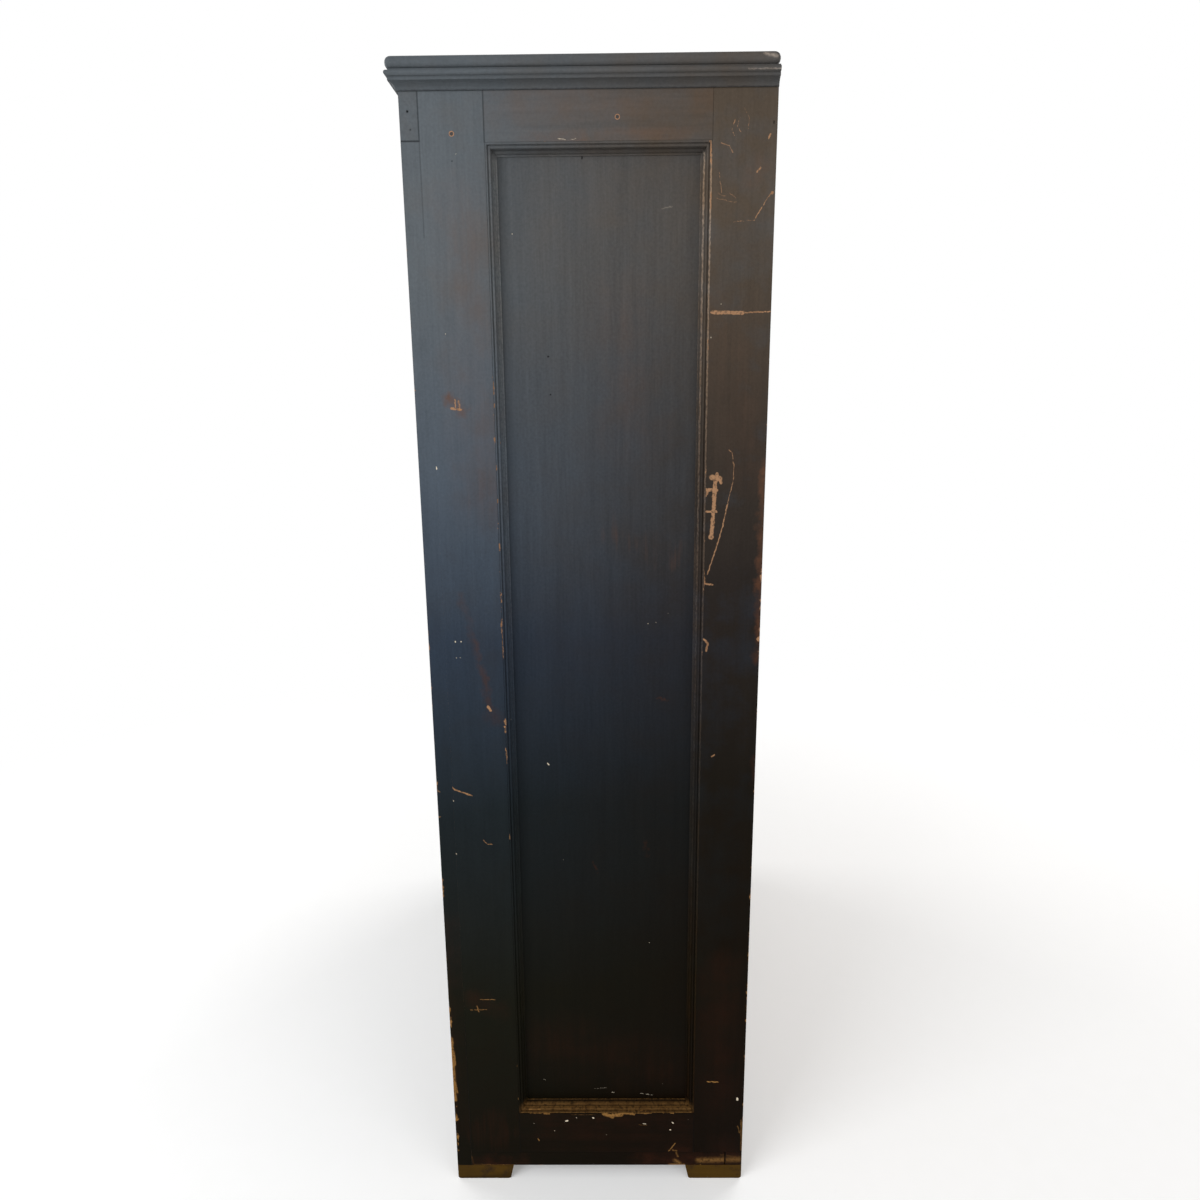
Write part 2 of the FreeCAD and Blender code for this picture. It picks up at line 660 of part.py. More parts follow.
def face_tenon(name, spare):
    """The tenon at the top of the right face stile, or with spare depth its mortise."""
    return block(name, (f"{OPENING_X} + face_tenon_shoulder", TENON_Y, OPENING_TOP),
                 (STILE_TENON_WIDTH, "face_tenon_thickness", f"face_tenon_length + {spare}"))


def rail_tenon(name, spare):
    """The tenon at the right end of the bottom rail, or with spare depth its mortise."""
    return block(name, (OPENING_X, TENON_Y, "foot_height + face_tenon_shoulder"),
                 (f"face_tenon_length + {spare}", "face_tenon_thickness", RAIL_TENON_HEIGHT))


stile = block("stile", (OPENING_X, FACE_Y, "foot_height"),
              ("face_stile_width", "face_thickness", f"{OPENING_TOP} - foot_height"))
stile_and_tenon = fuse("stile_and_tenon", stile, face_tenon("stile_tenon", "0"))
keep("face_right_stile", cut("face_right_stile", stile_and_tenon, rail_tenon("rail_mortise", "mortise_spare"),
                             *leaf_beds, *frame_holes))
keep("face_left_stile", mirrored("face_left_stile", pieces["face_right_stile"]))

top_mortise = face_tenon("top_mortise", "mortise_spare")
keep("face_top_rail", cut("face_top_rail",
                          block("top_rail_blank", (f"-{SIDE_X}", FACE_Y, OPENING_TOP),
                                ("case_width", "face_thickness", "face_top_rail_height")),
                          top_mortise, mirrored("left_top_mortise", top_mortise)))
right_tenon = rail_tenon("bottom_rail_tenon", "0")
keep("face_bottom_rail", fuse("face_bottom_rail",
                              block("bottom_rail_blank", (f"-{OPENING_X}", FACE_Y, "foot_height"),
                                    (f"2 * {OPENING_X}", "face_thickness", "face_bottom_rail_height")),
                              right_tenon, mirrored("left_bottom_tenon", right_tenon)))
keep("door_stop", block("door_stop", (f"-{INNER_X}", SIDE_FRONT, SIDE_BOTTOM),
                        (f"2 * {INNER_X}", "stop_thickness",
                         f"{DOOR_BOTTOM} + stop_lap - {SIDE_BOTTOM}")))


# The top board and the cornice under its edge

def edges_where(shape, test):
    """The names of the edges that pass a test."""
    return [f"Edge{number}" for number, edge in enumerate(shape.Edges, start=1) if test(edge)]


top_body = new_body("top_body")
top_points = (
    ("-case_width / 2 - top_board_reach", f"{FACE_Y} - top_board_reach", 0),
    ("case_width / 2 + top_board_reach", f"{FACE_Y} - top_board_reach", 0),
    ("case_width / 2 + top_board_reach", BACK_Y, 0),
    ("-case_width / 2 - top_board_reach", BACK_Y, 0),
)
top_pad = pad(top_body, "board", outline(top_body, "XY_Plane", "plan", top_points), "top_board_thickness")
place(top_body, ("0", "0", CASE_TOP))
doc.recompute()
corners = top_body.newObject("PartDesign::Fillet", "corners")
corners.Base = (top_pad, edges_where(top_pad.Shape, lambda edge: abs(edge.tangentAt(0).z) > 1 / 2))
bind(corners, Radius="top_corner_radius")
doc.recompute()
back_line = value(BACK_Y) - value("cut_overrun") / 2
nose = top_body.newObject("PartDesign::Fillet", "nose")
nose_edges = edges_where(corners.Shape, lambda edge: edge.BoundBox.ZLength < value("cut_overrun")
                         and edge.BoundBox.YMin < back_line)
nose.Base = (corners, nose_edges)
bind(nose, Radius="top_nose_radius")
keep("top_board", top_body)

CORNICE_Z = f"({CASE_TOP} - cornice_height)"
front_strip = mitred_strip("cornice_front", "case_width", CORNICE_SHARES, "cornice_reach", "cornice_height",
                           near_mitre=-1, far_mitre=-1)
keep("cornice_front", place(front_strip, ("0", FACE_Y, CORNICE_Z), turned(-Y_AXIS, X_AXIS, Z_AXIS)))
side_strip = mitred_strip("cornice_right", "case_depth", CORNICE_SHARES, "cornice_reach", "cornice_height",
                          near_mitre=-1)
keep("cornice_right", place(side_strip, (SIDE_X, f"({FACE_Y} + {BACK_Y}) / 2", CORNICE_Z)))
keep("cornice_left", mirrored("cornice_left", side_strip))

top_cleat = block("right_top_cleat", (f"{INNER_X} - top_cleat_thickness", SIDE_FRONT,
                                      f"{CASE_TOP} - top_cleat_height"),
                  ("top_cleat_thickness",
                   "case_depth - face_thickness - back_board_thickness - back_rail_thickness",
                   "top_cleat_height"))
nailed_cleat = cut("right_top_cleat_nailed", top_cleat, rail_hole)
keep("top_cleats", group("top_cleats", nailed_cleat, mirrored("left_top_cleat", nailed_cleat)))


# The back and the shelves

keep("back_top_rail", block("back_top_rail", (f"-{INNER_X}", f"{BACK_FRONT} - back_rail_thickness",
                                              f"{CASE_TOP} - back_rail_height"),
                            (f"2 * {INNER_X}", "back_rail_thickness", "back_rail_height")))
BACK_SPAN = f"(2 * ({INNER_X} + back_rabbet_width))"
BOARD_WIDTH = f"(({BACK_SPAN} - {BACK_BOARD_COUNT + 1} * back_board_gap) / {BACK_BOARD_COUNT})"
for index in range(BACK_BOARD_COUNT):
    board_x = f"-{BACK_SPAN} / 2 + back_board_gap + {index} * ({BOARD_WIDTH} + back_board_gap)"
    board_size = (BOARD_WIDTH, "back_board_thickness", f"{CASE_TOP} - {SIDE_BOTTOM}")
    keep(f"back_board_{index + 1}", block("back_board", (board_x, BACK_FRONT, SIDE_BOTTOM), board_size))

right_cleats = []
for index in range(1, SHELF_COUNT + 1):
    shelf_z = f"({SIDE_BOTTOM} + {index} * ({CASE_TOP} - {SIDE_BOTTOM}) / {SHELF_COUNT + 1})"
    keep(f"shelf_{index}", block("shelf", (f"shelf_play - {INNER_X}", SHELF_FRONT, shelf_z),
                                 (f"2 * ({INNER_X} - shelf_play)", f"{BACK_FRONT} - {SHELF_FRONT}",
                                  "shelf_thickness")))
    cleat_front = f"({SHELF_FRONT} + cleat_setback)"
    right_cleats.append(block("shelf_cleat", (f"{INNER_X} - cleat_thickness", cleat_front,
                                              f"{shelf_z} - cleat_height"),
                              ("cleat_thickness", f"{BACK_FRONT} - {cleat_front}", "cleat_height")))
right_cleat_group = group("right_shelf_cleats", *right_cleats)
left_cleat_group = mirrored("left_shelf_cleats", right_cleat_group)
keep("shelf_cleats", group("shelf_cleats", right_cleat_group, left_cleat_group))


# The doors

def at_door(across, depth, up):
    """A corner of the right door, from the door's own sizes."""
    return (f"meeting_gap / 2 + ({across})", f"{FACE_Y} + ({depth})", f"{DOOR_BOTTOM} + ({up})")


door_frame = {
    "width": DOOR_WIDTH, "height": f"({DOOR_TOP} - {DOOR_BOTTOM})", "thickness": DOOR_THICKNESS,
    "recess": "door_panel_recess", "field": "door_panel_field",
    "near": "door_stile_width", "far": "door_stile_width",
    "upper": "door_top_rail_height", "lower": "door_bottom_rail_height",
}
door = framed_panel("right_door_", "lock_stile", "hinge_stile", door_frame, at_door, FreeCAD.Rotation())
door["hinge_stile"] = cut("hinge_stile_cut", door["hinge_stile"], *leaf_beds, *door_holes)
for name, item in door.items():
    keep("left_door_" + name, mirrored("left_door_" + name, item))
shank_bore = rod("shank_bore", (LOCK_STILE_X, f"{DOOR_BACK} + cut_overrun", LATCH_Z),
                 "shank_radius + shank_play", f"{DOOR_THICKNESS} + 2 * cut_overrun",
                 FreeCAD.Rotation(Z_AXIS, -Y_AXIS))
door["lock_stile"] = cut("lock_stile_bored", door["lock_stile"], shank_bore)
for name, item in door.items():
    keep("right_door_" + name, item)


# The turn latch: a turned knob whose shank goes through the door, and the pawl on the shank's end

SHANK_LENGTH = f"({DOOR_THICKNESS} + pawl_gap + pawl_thickness + knob_gap)"

# The knob's section, as shares of its own radius, neck and flange radii and reach
KNOB_FLANGE_SHARE = 0.1
KNOB_NECK_SHARE = 0.34
KNOB_WIDEST_SHARE = 0.68
KNOB_CROWN_SHARE = 0.3

knob = new_body("knob")
knob_length = "(knob_reach - knob_gap)"
knob_points = (
    ("0", f"-{SHANK_LENGTH}", 0),
    ("shank_radius", f"-{SHANK_LENGTH}", 0),
    ("shank_radius", "0", 0),
    ("knob_flange_radius", "0", 0),
    ("knob_flange_radius", f"{KNOB_FLANGE_SHARE} * {knob_length}", -SHALLOW_SHARE),
    ("knob_neck_radius", f"{KNOB_NECK_SHARE} * {knob_length}", -SHALLOW_SHARE),
    ("knob_radius", f"{KNOB_WIDEST_SHARE} * {knob_length}", QUARTER_SHARE),
    (f"{KNOB_CROWN_SHARE} * knob_radius", knob_length, 0),
    ("0", knob_length, 0),
)
knob_section = outline(knob, "XZ_Plane", "section", knob_points)
turning = knob.newObject("PartDesign::Revolution", "turning")
turning.Profile = knob_section
turning.ReferenceAxis = (knob_section, ["V_Axis"])
place(knob, (LOCK_STILE_X, f"{FACE_Y} - knob_gap", LATCH_Z), turned(X_AXIS, Z_AXIS, -Y_AXIS))
keep("latch_knob", knob)

pawl = new_body("pawl")
pawl_points = (
    ("-pawl_width / 2", "0", 0),
    ("-pawl_width / 3", "-pawl_length", 0),
    ("pawl_width / 3", "-pawl_length", 0),
    ("pawl_width / 2", "0", HALF_SHARE),
)
pawl_pad = pad(pawl, "bar", outline(pawl, "XZ_Plane", "side", pawl_points), "pawl_thickness")
pawl_bore = outline(pawl, "XZ_Plane", "bore", (
    ("-shank_radius - shank_play", "0", HALF_SHARE),
    ("shank_radius + shank_play", "0", HALF_SHARE),
))
pocket_through(pawl, "bore_cut", pawl_bore)
place(pawl, (LOCK_STILE_X, f"{DOOR_BACK} + pawl_gap + pawl_thickness", LATCH_Z))
keep("latch_pawl", pawl)


# The bolt on the left door's back: a plate with two staples, and a rod that slides in them

PLATE_TOP = f"({DOOR_TOP} - bolt_plate_drop)"
PLATE_BOTTOM = f"({PLATE_TOP} - bolt_plate_height)"
LOWER_STAPLE = f"({PLATE_BOTTOM} + staple_end_distance)"
UPPER_STAPLE = f"({PLATE_TOP} - staple_end_distance - staple_height)"
BOLT_X = f"(-{LOCK_STILE_X})"
STUD_Z = f"({LOWER_STAPLE} + staple_height + stud_gap + stud_radius)"

plate = block("plate", (f"{BOLT_X} - bolt_plate_width / 2", DOOR_BACK, PLATE_BOTTOM),
              ("bolt_plate_width", "bolt_plate_thickness", "bolt_plate_height"))
staples = []
for name, base_z in (("lower_staple", LOWER_STAPLE), ("upper_staple", UPPER_STAPLE)):
    loop = rod(name + "_loop", (BOLT_X, BOLT_Y, base_z), "staple_radius", "staple_height")
    foot_corner = (f"{BOLT_X} - staple_radius", f"{DOOR_BACK} + bolt_plate_thickness / 2", base_z)
    foot_block = block(name + "_foot", foot_corner,
                       ("2 * staple_radius", f"{BOLT_Y} - {DOOR_BACK} - bolt_plate_thickness / 2",
                        "staple_height"))
    staples.append(loop)
    staples.append(foot_block)
staple_trim = block("staple_trim", (f"{BOLT_X} - bolt_plate_width", f"{DOOR_BACK} - 2 * staple_radius",
                                    PLATE_BOTTOM),
                    ("2 * bolt_plate_width", "2 * staple_radius", "bolt_plate_height"))
bolt_bore = rod("bolt_bore", (BOLT_X, BOLT_Y, f"{PLATE_BOTTOM} - cut_overrun"), "bolt_rod_radius + bolt_play",
                "bolt_plate_height + 2 * cut_overrun")
keep("bolt_plate", cut("bolt_plate", fuse("bolt_plate_blank", plate, *staples), bolt_bore, staple_trim))

bolt_bar = rod("bolt_bar", (BOLT_X, BOLT_Y, f"{LOWER_STAPLE} - bolt_tail"), "bolt_rod_radius",
               f"{DOOR_TOP} - bolt_tip_gap - {LOWER_STAPLE} + bolt_tail")
stud = rod("stud", (BOLT_X, BOLT_Y, STUD_Z), "stud_radius", "bolt_rod_radius + stud_length",
           FreeCAD.Rotation(Z_AXIS, Y_AXIS))
keep("bolt_rod", fuse("bolt_rod", bolt_bar, stud))

doc.recompute()


# The checks and the files

for item in doc.Objects:
    if "Invalid" in item.State or "Error" in item.State:
        raise RuntimeError(f"{item.Label} is {item.State}")
for label, item in pieces.items():
    if item.Shape.isNull() or not item.Shape.isValid() or not item.Shape.Solids:
        raise RuntimeError(f"{label} has no sound solid")

os.makedirs("parts", exist_ok=True)
for label, item in sorted(pieces.items()):
    item.Shape.exportStep(os.path.join("parts", label + ".step"))
    box = item.Shape.BoundBox
    print(f"{label:28s} solids {len(item.Shape.Solids):2d} volume {item.Shape.Volume:12.1f}",
          f"x {box.XMin:8.2f} {box.XMax:8.2f}",
          f"y {box.YMin:8.2f} {box.YMax:8.2f}",
          f"z {box.ZMin:8.2f} {box.ZMax:8.2f}")
print(len(pieces), "nodes")
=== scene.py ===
import math

import bpy
from mathutils import Matrix, Vector


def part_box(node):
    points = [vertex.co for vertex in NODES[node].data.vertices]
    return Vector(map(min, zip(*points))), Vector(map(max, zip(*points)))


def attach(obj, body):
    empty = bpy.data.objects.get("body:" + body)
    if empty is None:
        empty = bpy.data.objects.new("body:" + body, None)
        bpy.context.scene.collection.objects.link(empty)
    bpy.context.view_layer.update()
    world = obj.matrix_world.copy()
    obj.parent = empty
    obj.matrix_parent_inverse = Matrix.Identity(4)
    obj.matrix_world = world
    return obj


# The finish of an old painted cupboard, seen from its right-hand side. Lengths are in metres: X runs across
# the front, Y from the front to the back and Z up, with the origin on the floor.

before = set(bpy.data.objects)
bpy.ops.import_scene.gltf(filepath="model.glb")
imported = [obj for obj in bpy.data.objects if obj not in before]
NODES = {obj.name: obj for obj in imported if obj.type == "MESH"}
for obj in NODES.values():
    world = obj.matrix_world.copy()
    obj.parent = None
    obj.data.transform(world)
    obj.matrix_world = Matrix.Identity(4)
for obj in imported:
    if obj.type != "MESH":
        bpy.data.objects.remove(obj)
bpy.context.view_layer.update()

MM = 0.001

# The faces that the marks lie on, read from the solids
SIDE_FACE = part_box("right_side_front_stile")[1].x
PANEL_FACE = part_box("right_side_panel")[1].x
FRONT_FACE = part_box("face_top_rail")[0].y
FRAME_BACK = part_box("face_top_rail")[1].y
REAR_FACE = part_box("right_side_rear_stile")[1].y
INNER_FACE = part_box("door_stop")[1].x
DOOR_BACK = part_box("right_door_top_rail")[1].y
DOOR_PANEL_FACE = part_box("right_door_panel")[0].y
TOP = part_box("top_board")[1].z


def srgb(red, green, blue):
    """The linear colour for one given from 0 to 255."""
    def linear(level):
        share = level / 255
        return share / 12.92 if share <= 0.04045 else ((share + 0.055) / 1.055) ** 2.4
    return (linear(red), linear(green), linear(blue), 1)


class Graph:
    """A node tree that is built one value at a time."""

    def __init__(self, tree):
        self.tree = tree

    def node(self, kind, **settings):
        made = self.tree.nodes.new("ShaderNode" + kind)
        for name, setting in settings.items():
            setattr(made, name, setting)
        return made

    def feed(self, socket, source):
        if isinstance(source, bpy.types.NodeSocket):
            self.tree.links.new(source, socket)
        else:
            socket.default_value = source

    def math(self, operation, *sources, clamp=False):
        made = self.node("Math", operation=operation, use_clamp=clamp)
        for socket, source in zip(made.inputs, sources):
            self.feed(socket, source)
        return made.outputs[0]

    def vector(self, operation, *sources):
        made = self.node("VectorMath", operation=operation)
        for socket, source in zip(made.inputs, sources):
            self.feed(socket, source)
        return made.outputs["Value" if operation in ("DOT_PRODUCT", "DISTANCE", "LENGTH") else "Vector"]

    def scaled(self, place, factor):
        made = self.node("VectorMath", operation="SCALE")
        self.feed(made.inputs[0], place)
        self.feed(made.inputs["Scale"], factor)
        return made.outputs[0]

    def split(self, place):
        made = self.node("SeparateXYZ")
        self.feed(made.inputs[0], place)
        return made.outputs

    def join(self, x, y, z):
        made = self.node("CombineXYZ")
        for socket, source in zip(made.inputs, (x, y, z)):
            self.feed(socket, source)
        return made.outputs[0]

    def noise(self, place, pattern, output="Fac"):
        """A noise from its cells a metre, its finer layers and their strength."""
        made = self.node("TexNoise")
        self.feed(made.inputs["Vector"], place)
        for name, setting in zip(("Scale", "Detail", "Roughness"), pattern):
            made.inputs[name].default_value = setting
        return made.outputs[output]

    def uneven(self, place, pattern):
        """A noise from -0.5 to 0.5 along each axis."""
        return self.vector("SUBTRACT", self.noise(place, pattern, output="Color"), (0.5, 0.5, 0.5))

    def cells(self, place, scale):
        """How far a place is from the middle of its cell, with so many cells a metre."""
        made = self.node("TexVoronoi")
        self.feed(made.inputs["Vector"], place)
        made.inputs["Scale"].default_value = scale
        return made.outputs["Distance"]

    def rise(self, source, low, high, start=0, end=1):
        """Goes smoothly from start to end as the source goes from low to high."""
        made = self.node("MapRange", interpolation_type="SMOOTHSTEP")
        for socket, item in zip(made.inputs, (source, low, high, start, end)):
            self.feed(socket, item)
        return made.outputs[0]

    def mix(self, share, first, second):
        made = self.node("Mix", data_type="RGBA")
        self.feed(made.inputs["Factor"], share)
        self.feed(made.inputs[6], first)
        self.feed(made.inputs[7], second)
        return made.outputs[2]

    def lerp(self, share, first, second):
        made = self.node("Mix", data_type="FLOAT")
        self.feed(made.inputs["Factor"], share)
        self.feed(made.inputs[2], first)
        self.feed(made.inputs[3], second)
        return made.outputs[0]

    def ramp(self, source, stops):
        """A colour ramp from (position, colour) stops."""
        made = self.node("ValToRGB")
        self.feed(made.inputs["Fac"], source)
        elements = made.color_ramp.elements
        while len(elements) < len(stops):
            elements.new(1)
        for element, (position, colour) in zip(elements, stops):
            element.position = position
            element.color = colour
        return made.outputs["Color"]

    def weighted(self, *parts):
        """The sum of several values, each times its weight."""
        total = None
        for source, weight in parts:
            part = self.math("MULTIPLY", source, weight)
            total = part if total is None else self.math("ADD", total, part)
        return total

    def about_zero(self, source, reach):
        """Turns a value from 0 to 1 into one that goes half the reach to either side of 0."""
        return self.math("MULTIPLY", self.math("SUBTRACT", source, 0.5), reach)

    def most(self, sources):
        """The largest of several values, or zero."""
        best = 0.0
        for source in sources:
            best = self.math("MAXIMUM", best, source)
        return best


def stroke_group():
    """One stroke of wear, painted highlight and painted shade alike: its strength along a line, falling to 0
    at its reach.
    """
    tree = bpy.data.node_groups.new("stroke", "ShaderNodeTree")
    for name in ("Place", "Start", "Run"):
        tree.interface.new_socket(name, in_out="INPUT", socket_type="NodeSocketVector")
    for name in ("Reach", "Strength"):
        tree.interface.new_socket(name, in_out="INPUT", socket_type="NodeSocketFloat")
    tree.interface.new_socket("Share", in_out="OUTPUT", socket_type="NodeSocketFloat")
    graph = Graph(tree)
    given = tree.nodes.new("NodeGroupInput").outputs
    result = tree.nodes.new("NodeGroupOutput").inputs
    offset = graph.vector("SUBTRACT", given["Place"], given["Start"])
    square = graph.vector("DOT_PRODUCT", given["Run"], given["Run"])
    along = graph.math("DIVIDE", graph.vector("DOT_PRODUCT", offset, given["Run"]), square)
    along = graph.math("MINIMUM", graph.math("MAXIMUM", along, 0.0), 1.0)
    gap = graph.vector("DISTANCE", offset, graph.scaled(given["Run"], along))
    share = graph.math("SUBTRACT", 1.0, graph.math("DIVIDE", gap, given["Reach"]))
    graph.feed(result["Share"], graph.math("MULTIPLY", share, given["Strength"]))
    return tree


STROKE = stroke_group()


def strokes(graph, place, lines):
    """The strongest of many strokes, each from its points and reach, in millimetres, and its strength."""
    best = 0.0
    for points, reach, strength in lines:
        places = [Vector(point) * MM for point in points]
        for start, end in zip(places, places[1:] or places):
            made = graph.node("Group", node_tree=STROKE)
            graph.feed(made.inputs["Place"], place)
            made.inputs["Start"].default_value = start
            made.inputs["Run"].default_value = end - start
            made.inputs["Reach"].default_value = reach * MM
            made.inputs["Strength"].default_value = strength
            best = graph.math("MAXIMUM", best, made.outputs["Share"])
    return best


def new_material(name):
    material = bpy.data.materials.new(name)
    material.use_nodes = True
    material.node_tree.nodes.clear()
    return material, Graph(material.node_tree)


def object_place(graph):
    return graph.node("TexCoord").outputs["Object"]


def finish_surface(graph, colour, roughness, height, depth, specular, metallic=0):
    """The surface itself. Height is a bump from 0 to 1, and depth its size in metres."""
    shader = graph.node("BsdfPrincipled")
    graph.feed(shader.inputs["Base Color"], colour)
    graph.feed(shader.inputs["Roughness"], roughness)
    shader.inputs["Specular IOR Level"].default_value = specular
    shader.inputs["Metallic"].default_value = metallic
    bump = graph.node("Bump")
    bump.inputs["Strength"].default_value = 1
    bump.inputs["Distance"].default_value = depth
    graph.feed(bump.inputs["Height"], height)
    graph.feed(shader.inputs["Normal"], bump.outputs["Normal"])
    graph.feed(graph.node("OutputMaterial").inputs["Surface"], shader.outputs["BSDF"])


# How the patterns are drawn out along the grain
GRAIN = {"x": (0.05, 1, 1), "y": (1, 0.05, 1), "z": (1, 1, 0.05)}

# Noise patterns: their cells a metre, their finer layers, and the strength of those
GRAIN_WANDER = (9, 2, 0.5)
RINGS = (8.5, 1, 0.5)
WOOD_FIBRES = (620, 4, 0.7)
WOOD_STREAKS = (110, 4, 0.6)
WOOD_BLOTCHES = (7, 5, 0.6)
NAIL_WEAR = (300, 4, 0.5)
CLOUDS = (2.3, 4, 0.55)
BLOTCHES = (17, 5, 0.6)
BRUSH = (300, 3, 0.6)
PAINT_FIBRES = (70, 5, 0.65)
FINE = (260, 3, 0.5)
LUCK = (13, 2, 0.5)
RAGGED = (210, 3, 0.5)
SPREAD = (42, 4, 0.65)
FLAKES = (75, 4, 0.62)
RUST_PATCHES = (160, 5, 0.65)
PITS = (900, 3, 0.5)
HEAD_MOTTLE = (700, 4, 0.5)
FLOOR_SPECKLE = (30, 4, 0.5)
SPECK_CELLS = 46

# Smooth steps: the values between which they go from 0 to 1, or from the third number to the fourth
RING_STEP = (0.1, 1, 1, 0.15)
WOOD_BLOTCH_STEP = (0.4, 0.8, 0, 0.4)
STAIN_STEP = (0.48, 0.72)
WOOD_ROUGHNESS = (0.2, 0.9, 0.82, 0.62)
LOWEST_NAILS = (0.2, 0.25, 1, 0)
WARM_STEP = (-0.24, 0.26)
THIN_CLOUDS = (0.56, 0.72)
THIN_STEP = (0.38, 0.6, 0, 0.35)
RUB_BLOTCHES = (0.3, 0.7, 0.3, 1)
RUB_FIBRES = (0.3, 0.65, 0.35, 1)
WEAR_AND_HIGHLIGHT_STEP = (0.2, 0.6)
WEAR_AND_HIGHLIGHT_BREAKS = (0.3, 0.6, 0.45, 1)
BARE_HEIGHTS = (0.15, 1.1)
SCRATCH_STEP = (0.28, 0.52)
SCRATCH_BREAKS = (0.34, 0.5, 0.35, 1)
FLAKE_STEP = (2.12, 2.22)
PALE_STEP = (0.25, 0.5)
SPECK_STEP = (0.04, 0.055)
SPECK_LUCK = (0.64, 0.67)
DARK_STEP = (0.15, 0.6)
DUST_STEP = (0.7, 1.3, 0.12, 0.55)
DUST_HEIGHTS = (TOP - 0.3 * MM, TOP - 0.1 * MM)
PAINT_ROUGHNESS = (0.3, 0.7, 0.42, 0.55)
RUST_STEP = (0.4, 0.65)
RING_OF_RUST = (1.9 * MM, 2.9 * MM)

# How deep the relief of each kind of surface is
WOOD_DEPTH = 0.5 * MM
PAINT_DEPTH = 0.4 * MM
METAL_DEPTH = 0.25 * MM
HEAD_DEPTH = 0.2 * MM

# How close the grain's rings are, and how far they wander
RING_WAVES = 92
WANDER_REACH = 0.06


def wood(graph, place, grain, light, dark):
    """Bare boards: their colour, and their relief from 0 to 1."""
    stretched = graph.vector("MULTIPLY", place, GRAIN[grain])
    wander = graph.scaled(graph.noise(stretched, GRAIN_WANDER, output="Color"), WANDER_REACH)
    rings = graph.noise(graph.vector("ADD", stretched, wander), RINGS)
    rings = graph.rise(graph.math("SINE", graph.math("MULTIPLY", rings, RING_WAVES)), *RING_STEP)
    fibres = graph.noise(stretched, WOOD_FIBRES)
    tone = graph.weighted((rings, 0.34), (fibres, 0.3), (graph.noise(stretched, WOOD_STREAKS), 0.36))
    colour = graph.mix(tone, dark, light)
    colour = graph.mix(graph.rise(graph.noise(place, WOOD_BLOTCHES), *WOOD_BLOTCH_STEP), colour, dark)
    return colour, graph.weighted((rings, 0.4), (fibres, 0.6))


# The back boards' nails, from the pieces that they go into

BACK_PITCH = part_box("back_board_4")[0].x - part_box("back_board_3")[0].x
SHELF_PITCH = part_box("shelf_2")[0].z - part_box("shelf_1")[0].z
SHELF_MIDDLE = (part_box("shelf_1")[0].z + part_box("shelf_1")[1].z) / 2
RAIL_MIDDLE = (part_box("back_top_rail")[0].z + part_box("back_top_rail")[1].z) / 2
NAIL_INSET = 30 * MM
NAIL_UNEVEN = 6 * MM
NAIL_EDGE = (2.2 * MM, 2.8 * MM, 1, 0)
RUST_EDGE = (2.5 * MM, 11 * MM, 0.75, 0)
NAIL_RUST = srgb(42, 24, 14)
NAIL_HEAD = srgb(30, 24, 21)


def back_nails(graph, place):
    """The heads of the nails that hold the back boards to the shelves and the rail, and their rust."""
    x, y, z = graph.split(place)
    from_seam = graph.math("PINGPONG", graph.math("ABSOLUTE", x), BACK_PITCH / 2)
    from_nail = graph.math("SUBTRACT", from_seam, NAIL_INSET)
    row = graph.math("PINGPONG", graph.math("SUBTRACT", z, SHELF_MIDDLE), SHELF_PITCH / 2)
    row = graph.math("MINIMUM", row, graph.math("ABSOLUTE", graph.math("SUBTRACT", z, RAIL_MIDDLE)))
    row = graph.math("MAXIMUM", row, graph.rise(z, *LOWEST_NAILS))
    gap = graph.vector("LENGTH", graph.join(from_nail, row, 0.0))
    gap = graph.math("ADD", gap, graph.about_zero(graph.noise(place, NAIL_WEAR), NAIL_UNEVEN))
    return graph.rise(gap, *NAIL_EDGE), graph.rise(gap, *RUST_EDGE)


# How far the pattern of one board is from the next board's
NEXT_BOARD = (3.17, 1.71, 5.03)
DIRT = srgb(38, 26, 17)


def bare_wood(name, grain, light, dark, cell=None, grime=0.35, stain_cells=3.1, nailed=False, specular=0.3):
    """Unpainted boards. A cell is an axis and a pitch that tell one board from the next."""
    material, graph = new_material(name)
    spot = place = object_place(graph)
    if cell:
        axis, pitch = cell
        number = graph.math("FLOOR", graph.math("DIVIDE", graph.split(place)["xyz".index(axis)], pitch))
        place = graph.vector("ADD", place, graph.scaled(NEXT_BOARD, number))
    colour, relief = wood(graph, place, grain, light, dark)
    stains = graph.noise(place, (stain_cells, 5, 0.62))
    colour = graph.mix(graph.rise(stains, *STAIN_STEP, 0, grime), colour, DIRT)
    if nailed:
        head, rust = back_nails(graph, spot)
        colour = graph.mix(head, graph.mix(rust, colour, NAIL_RUST), NAIL_HEAD)
    roughness = graph.rise(relief, *WOOD_ROUGHNESS)
    finish_surface(graph, colour, roughness, relief, WOOD_DEPTH, specular)
    return material


# The paint's colours at shares of the height, where it is cool and where it is warm: on the side that the
# photograph shows, and on the others. They hold painted light and shade: lighter towards the top, with a cool
# bluish painted sheen at the front, and darker towards the bottom as painted shade. The other sides have a
# milder copy of it.
COOL_SHEEN_AND_SHADE_STOPS = (
    (0.06, srgb(14, 11, 3)), (0.20, srgb(18, 18, 10)), (0.28, srgb(22, 25, 24)), (0.38, srgb(25, 31, 34)),
    (0.55, srgb(44, 53, 65)), (0.68, srgb(71, 79, 88)), (0.84, srgb(86, 91, 95)),
)
WARM_LIGHT_AND_SHADE_STOPS = (
    (0.06, srgb(14, 6, 1)), (0.24, srgb(15, 8, 2)), (0.42, srgb(22, 18, 13)), (0.60, srgb(38, 33, 30)),
    (0.72, srgb(54, 47, 41)), (0.88, srgb(78, 68, 58)),
)
